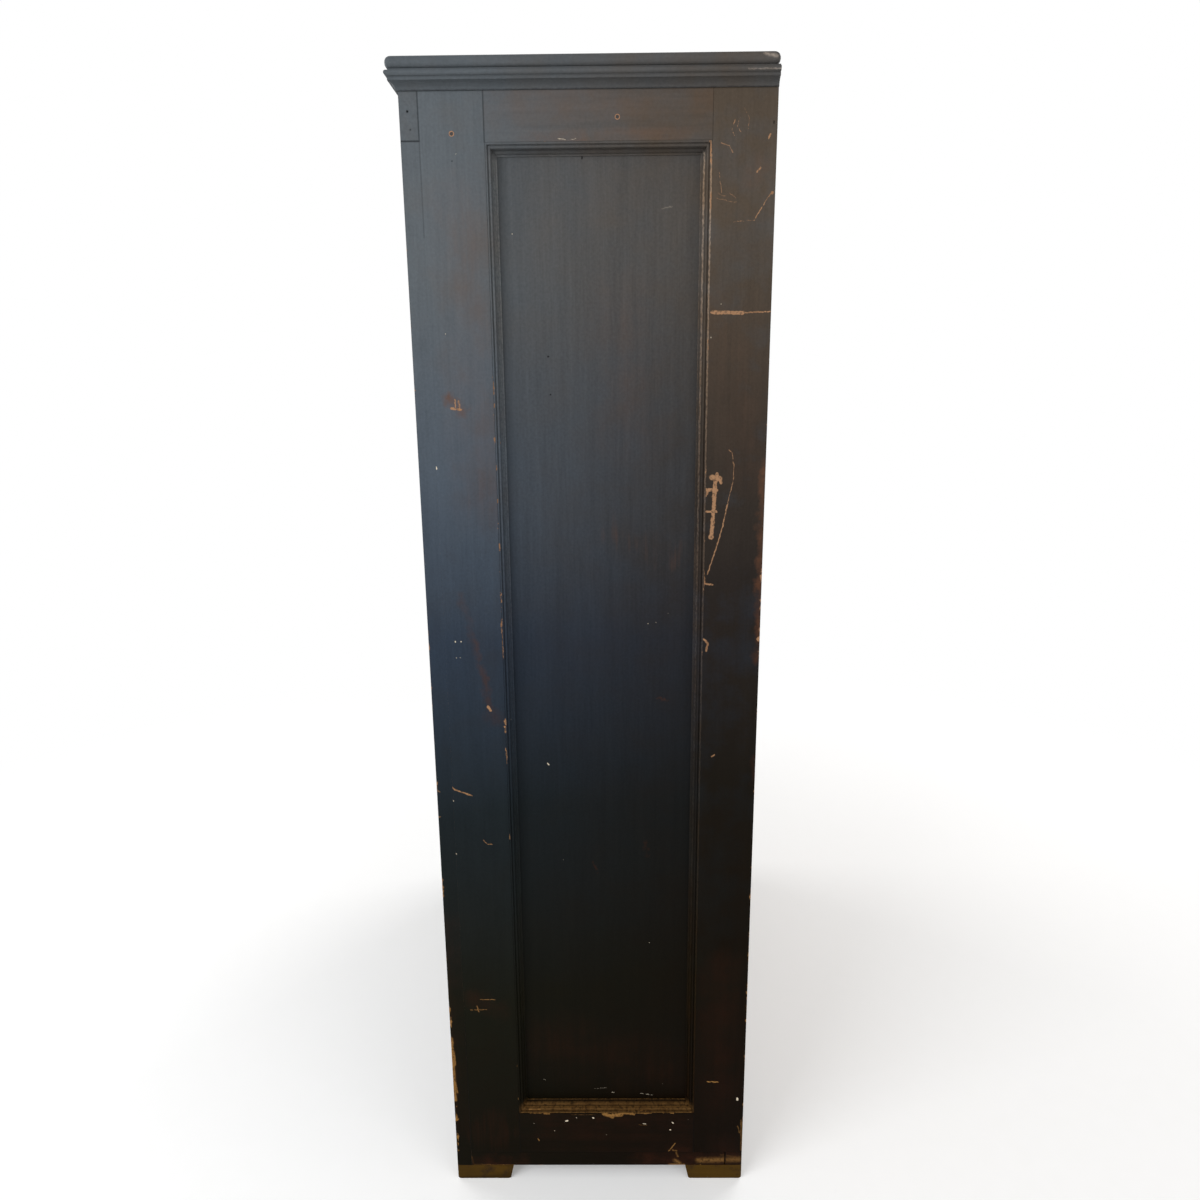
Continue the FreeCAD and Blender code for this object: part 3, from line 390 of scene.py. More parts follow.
OTHER_COOL_SHEEN_AND_SHADE_STOPS = (
    (0.05, srgb(24, 22, 18)), (0.3, srgb(33, 36, 38)), (0.5, srgb(45, 50, 57)), (0.9, srgb(75, 80, 84)),
)
OTHER_WARM_LIGHT_AND_SHADE_STOPS = (
    (0.05, srgb(25, 19, 14)), (0.3, srgb(33, 29, 25)), (0.5, srgb(43, 39, 36)), (0.9, srgb(74, 67, 60)),
)

# The brown under the black, in the same way, with the same painted light and shade: lighter towards the top,
# darker towards the bottom
RUB_LIGHT_AND_SHADE_STOPS = ((0.12, srgb(42, 20, 9)), (0.45, srgb(60, 35, 24)), (0.90, srgb(108, 78, 60)))

# The height that the stops are shares of, and how unevenly the colours follow it
RAMP_HEIGHT = 1.8
HEIGHT_UNEVEN = 0.22

# How much each pattern lightens and darkens the paint
SHADES = {"brush": 0.22, "fibres": 0.34, "blotches": 0.36, "fine": 0.3}

# The light and dark of chipped wood, high and low on the cupboard, and of the wood inside
BARE_HIGH = (srgb(172, 132, 99), srgb(114, 82, 58))
BARE_LOW = (srgb(158, 116, 64), srgb(92, 62, 30))
INSIDE_WOOD = (srgb(172, 140, 104), srgb(92, 68, 48))

PALE = srgb(214, 200, 176)
# The dark of dents and joints, which also paints shade into the creases of the mouldings and the cornice
DENT_SEAM_AND_SHADE_DARK = srgb(9, 8, 8)
DUST = srgb(126, 121, 112)

# How many times lighter the paint is on a worn arris, and under the painted highlights and painted light
# along the side's mouldings and the cornice's edge
WEAR_AND_HIGHLIGHT_GAIN = (3.4, 3.1, 2.8)
SPECK_STRENGTH = 0.6
BARE_ROUGHNESS = 0.75
INSIDE_ROUGHNESS = 0.7
PAINT_SPECULAR = 0.035
RAGGED_REACH = 3.4 * MM
SPREAD_REACH = 34 * MM

# How far from the side's face the front's colours start and end their change into the side's
CORNER_START = 62 * MM
CORNER_END = 1 * MM

# How soft the edge of a box of bare wood is
MASK_EDGE = 0.005 * MM
NO_MARKS = {"bare": [], "rubbed": [], "chips": [], "pale": [], "dark": [], "seams_and_crease_shade": [], "wear_and_highlights": []}


def within_box(graph, place, low, high):
    """1 inside a box and its mirror image across X, and 0 outside them."""
    x, y, z = graph.split(place)
    low, high = Vector(low), Vector(high)
    offset = graph.vector("SUBTRACT", graph.join(graph.math("ABSOLUTE", x), y, z), (low + high) / 2)
    beyond = graph.split(graph.vector("SUBTRACT", graph.vector("ABSOLUTE", offset), (high - low) / 2))
    farthest = graph.math("MAXIMUM", graph.math("MAXIMUM", beyond[0], beyond[1]), beyond[2])
    return graph.rise(farthest, -MASK_EDGE, MASK_EDGE, 1, 0)


def paint_patterns(graph, place, grain):
    """The patterns that the paint and its wear share."""
    stretched = graph.vector("MULTIPLY", place, GRAIN[grain])
    return {"clouds": graph.noise(place, CLOUDS), "blotches": graph.noise(place, BLOTCHES),
            "brush": graph.noise(stretched, BRUSH), "fibres": graph.noise(stretched, PAINT_FIBRES),
            "fine": graph.noise(place, FINE), "luck": graph.noise(place, LUCK)}


def side_to_front(graph, x, height, side_stops, other_stops):
    """The paint's colour, which changes over the last of the front before the side, from the milder painted
    light and shade of the other sides to the side's stronger one.
    """
    share = graph.rise(x, SIDE_FACE - CORNER_START, SIDE_FACE - CORNER_END)
    return graph.mix(share, graph.ramp(height, other_stops), graph.ramp(height, side_stops))


def whole_paint(graph, place, patterns, height, warmth, tone, mottling, whole_side):
    """The colour of the paint before wear, with painted light and shade: lighter towards the top with a cool
    painted sheen at the front, and darker towards the bottom.
    """
    x, y, z = graph.split(place)
    mottle = graph.math("SUBTRACT", graph.math("ADD", patterns["clouds"], patterns["blotches"]), 1.0)
    mottle = graph.math("MULTIPLY", mottle, mottling)
    warm_share = graph.math("ADD", graph.rise(y, *WARM_STEP, *warmth), mottle, clamp=True)
    if whole_side:
        cool, warm = graph.ramp(height, COOL_SHEEN_AND_SHADE_STOPS), graph.ramp(height, WARM_LIGHT_AND_SHADE_STOPS)
    else:
        cool = side_to_front(graph, x, height, COOL_SHEEN_AND_SHADE_STOPS, OTHER_COOL_SHEEN_AND_SHADE_STOPS)
        warm = side_to_front(graph, x, height, WARM_LIGHT_AND_SHADE_STOPS, OTHER_WARM_LIGHT_AND_SHADE_STOPS)
    shade = tone
    for name, reach in SHADES.items():
        shade = graph.math("ADD", shade, graph.about_zero(patterns[name], reach))
    return graph.vector("MULTIPLY", graph.mix(warm_share, cool, warm), graph.join(shade, shade, shade))


def rubbed_share(graph, place, patterns, lines):
    """Where the black is rubbed down to the brown: along strokes, and thinly here and there."""
    thin = graph.math("MULTIPLY", graph.rise(patterns["clouds"], *THIN_CLOUDS), patterns["fibres"])
    patchy = graph.math("MULTIPLY", graph.rise(patterns["blotches"], *RUB_BLOTCHES),
                        graph.rise(patterns["fibres"], *RUB_FIBRES))
    far = graph.vector("ADD", place, graph.scaled(graph.uneven(place, SPREAD), SPREAD_REACH))
    along = graph.math("MULTIPLY", strokes(graph, far, lines), patchy)
    return graph.math("MAXIMUM", along, graph.rise(thin, *THIN_STEP))


def bare_share(graph, place, near, edge_place, patterns, scratches, chips):
    """Where the paint is off down to the wood: in scratches, and in flakes along chipped edges."""
    share = graph.rise(strokes(graph, near, scratches), *SCRATCH_STEP)
    share = graph.math("MULTIPLY", share, graph.rise(patterns["fine"], *SCRATCH_BREAKS))
    if chips:
        flakes = graph.weighted((graph.noise(place, FLAKES), 1.6), (patterns["luck"], 1.2),
                                (strokes(graph, edge_place, chips), 0.6))
        share = graph.math("MAXIMUM", share, graph.rise(flakes, *FLAKE_STEP))
    return share


def pale_share(graph, place, near, patterns, lines, flecks):
    """Pale specks: the marked ones, and small ones in places."""
    specks = graph.rise(graph.cells(place, SPECK_CELLS), *SPECK_STEP, SPECK_STRENGTH * flecks, 0)
    specks = graph.math("MULTIPLY", specks, graph.rise(patterns["luck"], *SPECK_LUCK))
    return graph.math("MAXIMUM", graph.rise(strokes(graph, near, lines), *PALE_STEP), specks)


def paint(name, grain, marks=None, inside=None, warmth=(0.0, 1.0), tone=1.0, mirrored=False, flecks=1.0,
          whole_side=False, dusty=False, mottling=1.0):
    """Old near-black paint, over a reddish brown one, over wood.

    The marks are lists of strokes: bare scratches down to the wood, rubbed ones down to the brown, chipped
    edges, pale specks, dark dented spots and joints, painted shade in creases and under strips, and lighter
    arrises, both from wear and as painted highlights and painted light. Inside is the two corners of the box
    in which the wood was left unpainted, and the axes along which its edge is uneven. Warmth is how brown the
    paint is at the front and at the back, against its cool painted sheen. A piece that lies wholly in the
    photographed side has that side's colours throughout, with their stronger painted light and shade. A
    mirrored piece has the same chipped edges and arrises on both sides of the middle.
    """
    marks = {**NO_MARKS, **(marks or {})}
    material, graph = new_material(name)
    place = object_place(graph)
    z = graph.split(place)[2]
    patterns = paint_patterns(graph, place, grain)
    fine, clouds = patterns["fine"], patterns["clouds"]
    raggedness = graph.uneven(place, RAGGED)
    near = graph.vector("ADD", place, graph.scaled(raggedness, RAGGED_REACH))
    edge_place = near
    if mirrored:
        near_x, near_y, near_z = graph.split(near)
        edge_place = graph.join(graph.math("ABSOLUTE", near_x), near_y, near_z)

    height = graph.math("ADD", z, graph.about_zero(clouds, HEIGHT_UNEVEN))
    height = graph.math("DIVIDE", height, RAMP_HEIGHT)
    colour = whole_paint(graph, place, patterns, height, warmth, tone, mottling, whole_side)
    rubbed = rubbed_share(graph, place, patterns, marks["rubbed"])
    # The brown follows the height as painted light and shade: lighter towards the top, darker towards the
    # bottom.
    colour = graph.mix(rubbed, colour, graph.ramp(height, RUB_LIGHT_AND_SHADE_STOPS))
    # Lighter along worn arrises, and along the mouldings' painted highlights and painted light.
    if marks["wear_and_highlights"]:
        line = graph.rise(strokes(graph, edge_place, marks["wear_and_highlights"]), *WEAR_AND_HIGHLIGHT_STEP)
        line = graph.math("MULTIPLY", line, graph.rise(fine, *WEAR_AND_HIGHLIGHT_BREAKS))
        colour = graph.mix(line, colour, graph.vector("MULTIPLY", colour, WEAR_AND_HIGHLIGHT_GAIN))

    level = graph.rise(z, *BARE_HEIGHTS)
    light, dark = (graph.mix(level, low, high) for low, high in zip(BARE_LOW, BARE_HIGH))
    bare = bare_share(graph, place, near, edge_place, patterns, marks["bare"], marks["chips"])
    colour = graph.mix(bare, colour, wood(graph, place, grain, light, dark)[0])
    colour = graph.mix(pale_share(graph, place, near, patterns, marks["pale"], flecks), colour, PALE)
    # Dark dents and joints, and painted shade in the creases and under the strips of the mouldings and the
    # cornice.
    dents_and_shade = graph.rise(strokes(graph, near, marks["dark"]), *DARK_STEP)
    colour = graph.mix(graph.math("MAXIMUM", dents_and_shade, strokes(graph, place, marks["seams_and_crease_shade"])), colour, DENT_SEAM_AND_SHADE_DARK)
    if dusty:
        settled = graph.rise(graph.math("ADD", patterns["blotches"], fine), *DUST_STEP)
        settled = graph.math("MULTIPLY", settled, graph.rise(z, *DUST_HEIGHTS))
        colour = graph.mix(settled, colour, DUST)

    roughness = graph.rise(graph.weighted((fine, 0.5), (clouds, 0.5)), *PAINT_ROUGHNESS)
    roughness = graph.lerp(bare, roughness, BARE_ROUGHNESS)
    relief = graph.weighted((graph.math("ADD", patterns["brush"], patterns["fibres"]), 0.2), (fine, 0.12))
    if inside:
        low, high, uneven_axes = inside
        ragged = graph.vector("MULTIPLY", raggedness, Vector(uneven_axes) * RAGGED_REACH)
        within = within_box(graph, graph.vector("ADD", place, ragged), low, high)
        plain, plain_relief = wood(graph, place, grain, *INSIDE_WOOD)
        colour = graph.mix(within, colour, plain)
        roughness = graph.lerp(within, roughness, INSIDE_ROUGHNESS)
        relief = graph.lerp(within, relief, plain_relief)
    finish_surface(graph, colour, roughness, relief, PAINT_DEPTH, PAINT_SPECULAR)
    return material


RUST_ROUGHNESS = 0.8


def metal(name, colour, rust, roughness):
    """Dark metal with patches of rust."""
    material, graph = new_material(name)
    place = object_place(graph)
    patches = graph.noise(place, RUST_PATCHES)
    share = graph.rise(patches, *RUST_STEP)
    colour = graph.mix(share, colour, rust)
    relief = graph.weighted((patches, 0.6), (graph.noise(place, PITS), 0.4))
    roughness = graph.lerp(share, roughness, RUST_ROUGHNESS)
    finish_surface(graph, colour, roughness, relief, METAL_DEPTH, specular=0.5, metallic=0.55)
    return material


HEAD_PAINT = srgb(46, 42, 40)
HEAD_RUST = (srgb(96, 76, 62), srgb(176, 126, 86))
HEAD_UNEVEN = 1.4 * MM


def nail_metal(centres):
    """Painted nail heads, rubbed through to rust in a ring. The centres are (y, z) in millimetres."""
    material, graph = new_material("nail_heads")
    place = object_place(graph)
    x, y, z = graph.split(place)
    flat = graph.join(0.0, y, z)
    gaps = [graph.vector("DISTANCE", flat, Vector((0, *centre)) * MM) for centre in centres]
    gap = gaps[0]
    for other in gaps[1:]:
        gap = graph.math("MINIMUM", gap, other)
    mottle = graph.noise(place, HEAD_MOTTLE)
    gap = graph.math("ADD", gap, graph.about_zero(mottle, HEAD_UNEVEN))
    colour = graph.mix(graph.rise(gap, *RING_OF_RUST), HEAD_PAINT, graph.mix(mottle, *HEAD_RUST))
    finish_surface(graph, colour, 0.6, mottle, HEAD_DEPTH, specular=0.4)
    return material


# The marks. Each row is a stroke of wear, and on the mouldings and the cornice some rows are painted
# highlights and painted shade: its points and its reach, in millimetres, and its strength.

X = SIDE_FACE / MM
PANEL_X = PANEL_FACE / MM
FRONT_Y = FRONT_FACE / MM
FACE_SEAM = FRAME_BACK / MM
REAR_Y = REAR_FACE / MM
FRONT_SEAM = -121.5
REAR_SEAM = 181.7

# Ridges of the panel moulding, as X
ARRIS = 534.2
LOW_BEAD = 524
INNER_STEP = 518


def placed(marks, where):
    """The strokes of a table of marks, with each row's points put in their places."""
    return {kind: [([where(*point) for point in points], reach, strength)
                   for *points, reach, strength in rows] for kind, rows in marks.items()}


def in_space(marks):
    """Marks from (x, y, z) points."""
    return placed(marks, lambda *point: point)


def on_side(marks):
    """Marks on the side's face, from (y, z) points."""
    return placed(marks, lambda y, z: (X, y, z))


def on_other_side(marks):
    """Marks on the opposite side's face, from (y, z) points."""
    return placed(marks, lambda y, z: (-X, y, z))


def on_panel(marks):
    """Marks on the side's panel, from (y, z) points."""
    return placed(marks, lambda y, z: (PANEL_X, y, z))


def on_front(marks):
    """Marks on the front, from (x, z) points."""
    return placed(marks, lambda x, z: (x, FRONT_Y, z))


def joined(*tables):
    """All the strokes of several tables of marks."""
    return {kind: [line for marks in tables for line in marks.get(kind, [])] for kind in NO_MARKS}


SEAMS = on_side({
    "seams_and_crease_shade": [
        ((FACE_SEAM, 1764), (FACE_SEAM, 1680), 1.6, 0.6), ((FACE_SEAM, 1680), (FACE_SEAM, 1560), 1.4, 0.3),
        ((FACE_SEAM, 320), (FACE_SEAM, 28), 1.6, 0.5), ((FACE_SEAM, 1680), (FRONT_Y, 1680), 1.8, 0.8),
        ((FRONT_SEAM, 1764), (FRONT_SEAM, 1678), 1.6, 0.6),
        ((REAR_SEAM, 1764), (REAR_SEAM, 1678), 1.2, 0.3), ((FRONT_SEAM, 137), (FRONT_SEAM, 55), 1.6, 0.5),
        ((REAR_SEAM, 137), (REAR_SEAM, 55), 1.6, 0.5), ((FACE_SEAM, 55), (REAR_Y, 55), 1.6, 0.6),
    ],
})
FRONT_STILE = on_side({
    "bare": [
        ((-176, 1345), (-176, 1331), 2.4, 0.62), ((-182, 1333), (-168, 1331), 3.4, 0.7),
        ((-171, 1343), (-170, 1332), 2.8, 0.66), ((-147, 884), (-143, 878), 3.2, 1),
        ((-215, 758), (-204, 746), (-178, 736), 2.2, 0.8),
        ((-163, 659), (-157, 652), (-149, 651), 1.6, 0.6), ((-180, 365), (-155, 364.6), 1.5, 0.6),
        ((-197, 345), (-170, 345.6), 1.5, 0.6), ((-186, 352), (-183, 341), 1.8, 0.8),
    ],
    "rubbed": [
        ((-182, 1062), (-165, 992), (-150, 920), (-145, 883), 8, 0.6),
        ((-182, 1345), (-166, 1332), 15, 1.1), ((-190, 365), (-150, 345), 26, 0.5),
        ((-140, 868), (-128, 862), 18, 0.5), ((-150, 1600), (-140, 1200), 60, 0.28),
    ],
    "pale": [
        ((-208.9, 1252), (-207.6, 1248), 1.8, 1), ((-192.4, 988.7), 2.4, 0.6), ((-183.3, 988.6), 2.6, 0.6),
        ((-192.1, 963.4), 1.8, 0.5), ((-186, 963.4), 1.8, 0.5), ((-207.9, 727.5), 1.8, 1),
        ((-207.4, 635), 1.8, 0.6), ((-185.3, 1434.7), 1.5, 0.6), ((-160, 1664), 1.6, 0.5),
    ],
    "chips": [((FRONT_SEAM, 1400), (FRONT_SEAM, 780), 5, 1), ((FRONT_SEAM, 260), (FRONT_SEAM, 140), 6, 1)],
    "dark": [((-165.5, 1655), 2.5, 0.5)],
})
REAR_STILE = on_side({
    "bare": [
        ((211, 1702), (207, 1690), (210, 1682), 1.2, 0.56),
        ((217, 1704), (214, 1694), (219, 1686), 1.2, 0.52),
        ((222, 1716), (229, 1704), (229, 1690), 1.1, 0.5),
        ((193, 1674), (204, 1670), (209, 1662), 2.2, 0.48), ((258, 1684), (256, 1679), 2, 0.7),
        ((246, 1643), (242, 1638), 3, 0.6), ((262, 1613), (252, 1598), (246, 1588), (240, 1578), 1.7, 0.6),
        ((263, 1612), 3.6, 1), ((240, 1578), (212, 1576), 1.5, 0.5), ((188, 1606), (215, 1600), 2.6, 0.42),
        ((190, 1612), (200, 1608), 2.2, 0.45), ((206, 1612), (214, 1606), 1.8, 0.45),
        ((186, 1459.6), (228, 1458.6), 4, 1), ((228, 1458.6), (266, 1459.8), 1.9, 0.8),
        ((190, 1233), (201, 1231), 6.5, 1), ((197, 1237), (203, 1225), 3.6, 1),
        ((195, 1229), (193.5, 1190), (191, 1148), 4.6, 1), ((180, 1215), (197, 1214), 3.6, 1),
        ((181, 1206), (186, 1215), 3, 1), ((183, 1183), (197, 1183), 2.8, 1), ((190.5, 1146), 6.5, 1),
        ((214, 1272), (218, 1268), (221, 1250), (221, 1229), (213, 1193), 1.9, 0.52),
        ((213, 1193), (207, 1161), (199, 1131), (193, 1112), (186, 1090), 2.5, 0.58),
        ((180, 1096), (182, 1079), (180, 1068), 2.6, 0.8), ((181, 1076), (194, 1074), 2.4, 0.8),
        ((183, 990), (189, 984), (187, 972), 3.4, 0.75), ((199, 800), (203, 803), 2.2, 0.7),
        ((204, 201.5), (222, 200.5), 2, 0.8), ((191, 1638), (195, 1612), 1.2, 0.5),
        ((264, 122), (266, 60), 7, 0.42), ((258, 110), (262, 96), 5, 0.42),
    ],
    "rubbed": [
        ((246, 1643), (236, 1628), 18, 0.4), ((266, 1250), (266, 955), 11, 1.4),
        ((266, 800), (266, 760), 8, 1.2), ((205, 1450), (245, 1250), 60, 0.2),
        ((230, 60), (262, 30), 40, 0.6), ((225, 420), (225, 160), 50, 0.35),
    ],
    "pale": [((256, 167.5), (256.4, 164), 2.6, 1)],
    "chips": [
        ((267, 60), (267, 900), 6, 1), ((267, 900), (267, 1640), 4, 1), ((266, 1130), (266, 955), 9, 1.1),
    ],
    "dark": [((262, 1699), (262, 1697), 2.2, 0.6)],
})
TOP_RAIL = on_side({
    "rubbed": [
        ((-100, 1745), (160, 1740), 90, 0.22), ((40, 1690), (150, 1688), 24, 0.35),
        ((-60, 1683), (10, 1681), 14, 0.4),
    ],
    "pale": [((-24, 1681.5), (-14, 1680), 2.2, 0.42), ((-8, 1680), (0, 1681), 1.8, 0.4)],
    "chips": [((-100, 1678), (170, 1678), 2.4, 1)],
})
BOTTOM_RAIL = on_side({
    "bare": [
        ((-78, 137), (-70, 136), 5, 0.6), ((-102, 137.5), (-84, 137), 3.6, 0.5),
        ((26, 136), (40, 130), 7, 0.8), ((42, 133), (56, 134), 8, 0.7), ((58, 137), (78, 135), 5, 0.6),
        ((80, 137), (104, 136.5), 3.8, 0.5), ((139, 58), (150, 74), 3.2, 0.5),
        ((-90, 84), (-88, 80), 1.8, 0.7), ((146, 60), (152, 58), 8, 0.42),
        ((-30, 134), (10, 134), 2.2, 0.42), ((86, 113), (100, 112), 2.2, 0.42),
    ],
    "rubbed": [
        ((-60, 110), (160, 100), 70, 0.5), ((120, 90), (160, 120), 30, 0.5),
        ((20, 126), (60, 120), 16, 1.1), ((150, 62), (170, 58), 22, 0.9),
    ],
    "pale": [
        ((-124, 128), 1.8, 0.7), ((-41, 121), (-38, 121.6), 2.2, 1), ((6, 127.8), (8, 127), 1.8, 1),
        ((94, 115), (98, 114.6), 1.6, 0.6), ((141, 102.6), 2, 1), ((144, 118), (146, 116), 1.6, 1),
        ((-22, 128), 1.3, 0.7), ((-60, 100), 1.3, 0.7), ((30, 92), 1.2, 0.6), ((-96, 116), 1.3, 0.6),
        ((172, 124), 1.3, 0.6),
    ],
    "chips": [((-110, 137), (175, 137), 4, 1)],
})
PANEL = on_panel({
    "rubbed": [
        ((14, 608), (16, 592), 4, 0.9), ((118, 888), (131, 884), 4, 0.7), ((100, 640), (101, 620), 4, 0.6),
        ((60, 1460), (80, 1300), 70, 0.15), ((-60, 260), (120, 210), 80, 0.3),
    ],
    "pale": [
        ((-59, 782), (-57, 779), 2.2, 0.6), ((100, 1010), 2, 0.5), ((112, 1012), 1.8, 0.5),
        ((90, 160), (110, 157), 1.5, 0.45), ((40, 163), (44, 162), 1.6, 0.5),
        ((116, 1597), (130, 1600), 8, 0.31), ((10, 170), (30, 172), 1.3, 0.4),
        ((-80, 190), (-76, 189), 1.2, 0.45),
    ],
    "dark": [((-43.7, 1403.4), 3.2, 0.6), ((-42, 1350.8), 3.2, 0.55), ((8, 1668), (8, 1661), 2.4, 0.6)],
})

# Chips along the moulding's front ridge: from one height down to another, then their reach and strength
ARRIS_CHIPS = (
    (1369, 1352, 2.4, 0.7), (1338, 1334, 2.4, 0.7), (1251, 1246, 2.4, 0.7), (1203, 1199, 2.4, 0.7),
    (1138, 1128, 2.8, 0.7), (1053, 1050, 2.4, 0.7), (1000, 962, 2.2, 0.55), (864, 855, 2.2, 0.7),
    (812, 790, 2.4, 0.6), (668, 660, 2.2, 0.6),
)
MOULDING = in_space({
    "bare": [
        ((ARRIS, 179, 1676), (532, 181, 1640), 3.2, 0.8),
        *[((ARRIS, -121, high), (ARRIS, -121, low), *wear) for high, low, *wear in ARRIS_CHIPS],
        ((531, -113, 1286), (531, -113, 1282), 2.4, 0.8), ((532, -105, 142), (532, -85, 142), 4, 0.55),
        ((533, 30, 141), (533, 100, 141), 4, 0.55), ((ARRIS, -118, 138), (ARRIS, 178, 138), 3.2, 0.45),
        ((LOW_BEAD, -112, 147), (LOW_BEAD, 172, 147), 3, 0.43),
        ((INNER_STEP, -107, 151), (INNER_STEP, 167, 151), 3, 0.42),
        ((528, -112, 143), (528, 174, 143), 56, 0.405),
    ],
    "rubbed": [((528, -115, 141), (528, 175, 141), 14, 0.6)],
    # Painted shade along the top strip, which faces down.
    "dark": [((525, -118, 1670), (525, 178, 1670), 26, 0.36)],
    # Painted shade in the creases between the bottom strip's ridges.
    "seams_and_crease_shade": [
        ((520, -106, 149.4), (520, 166, 149.4), 1.8, 0.75),
        ((526, -112, 144.9), (526, 172, 144.9), 1.5, 0.6),
        ((533, -117, 139.3), (533, 177, 139.3), 1.3, 0.5),
    ],
    "chips": [
        ((ARRIS, -121, 1420), (ARRIS, -121, 760), 2.6, 1), ((ARRIS, 181, 1650), (ARRIS, 181, 900), 2.2, 1),
        ((532, -115, 139), (532, 175, 139), 4.5, 1),
    ],
    # Painted highlights along the lit arrises, and in the two wide rows painted light over the strips.
    "wear_and_highlights": [
        ((ARRIS, 180.5, 1660), (ARRIS, 180.5, 1000), 2.4, 0.8),
        ((ARRIS, 180.5, 1000), (ARRIS, 180.5, 150), 2.4, 0.7),
        ((LOW_BEAD, 172, 1664), (LOW_BEAD, 172, 1000), 2.4, 0.75),
        ((LOW_BEAD, 172, 1000), (LOW_BEAD, 172, 160), 2.4, 0.6),
        ((INNER_STEP, 168, 1660), (INNER_STEP, 168, 900), 1.8, 0.4),
        ((INNER_STEP, 168, 900), (INNER_STEP, 168, 160), 1.8, 0.36),
        ((INNER_STEP, -107, 1655), (INNER_STEP, -107, 330), 70, 0.355),
        ((INNER_STEP, 168, 1120), (INNER_STEP, 168, 330), 70, 0.38),
    ],
})
FACE_STILE = on_side({
    "bare": [
        ((-233, 288), (-232, 165), 10, 0.6), ((-229, 262), (-228, 236), 6, 0.5),
        ((-229, 200), (-227, 180), 5, 0.5), ((-233, 745), (-228, 743), 2, 0.7),
        ((-233, 700), (-230, 700), 1.8, 0.7), ((-233, 590), (-231, 588), 2, 0.7),
    ],
    "rubbed": [((-233, 330), (-230, 120), 12, 0.5)],
    "chips": [
        ((-231, 60), (-231, 330), 11, 1.2), ((-233, 330), (-233, 800), 6, 1),
        ((-233, 800), (-233, 1640), 3, 1),
    ],
})
FACE_TOP = joined(on_side({
    "dark": [((-221.6, 1715.7), 3.2, 0.7), ((-218.9, 1694), 2.6, 0.5)],
}), on_front({
    "chips": [((-535, 1680), (535, 1680), 5, 1)],
}))
BASE = on_side({
    "bare": [
        ((150, 38), (158, 32), 18, 0.43), ((140, 29.5), (166, 29.5), 6, 0.48),
        ((152, 54), (155, 46), 7, 0.43), ((192, 38), (262, 40), 28, 0.43),
        ((-208, 48), (-204, 30), (-135, 28.6), 3, 0.42), ((230, 50), (264, 44), 10, 0.36),
    ],
    "rubbed": [((100, 40), (266, 40), 34, 1), ((-208, 34), (-120, 32), 20, 0.9)],
    "chips": [((-208, 28), (267, 28), 5, 1)],
    "dark": [((238, 55), (238, 36), 2.2, 0.8)],
})
CORNICE = in_space({
    "wear_and_highlights": [
        # The first row is a painted highlight along the whole edge; the others are wear near the back.
        ((549.5, -247, 1757), (549.5, 267, 1757), 3, 0.24),
        ((549.5, 225, 1757), (549.5, 267, 1757), 3, 0.5), ((549, 130, 1777), (549, 262, 1776), 3, 0.28),
        ((549, 246, 1775), (549, 262, 1772), 6, 0.6),
    ],
    # Painted shade in the quirk and under the bead and the cove.
    "dark": [
        ((547, -247, 1764), (547, 267, 1764), 4.5, 0.26),
        ((545.5, -243, 1750.2), (545.5, 267, 1750.2), 3, 0.3),
        ((536.5, -235, 1740), (536.5, 267, 1740), 6, 0.4), ((541, -239, 1745), (541, 267, 1745), 24, 0.33),
    ],
})

# The front's chipped edges and arrises are written for one half and mirrored

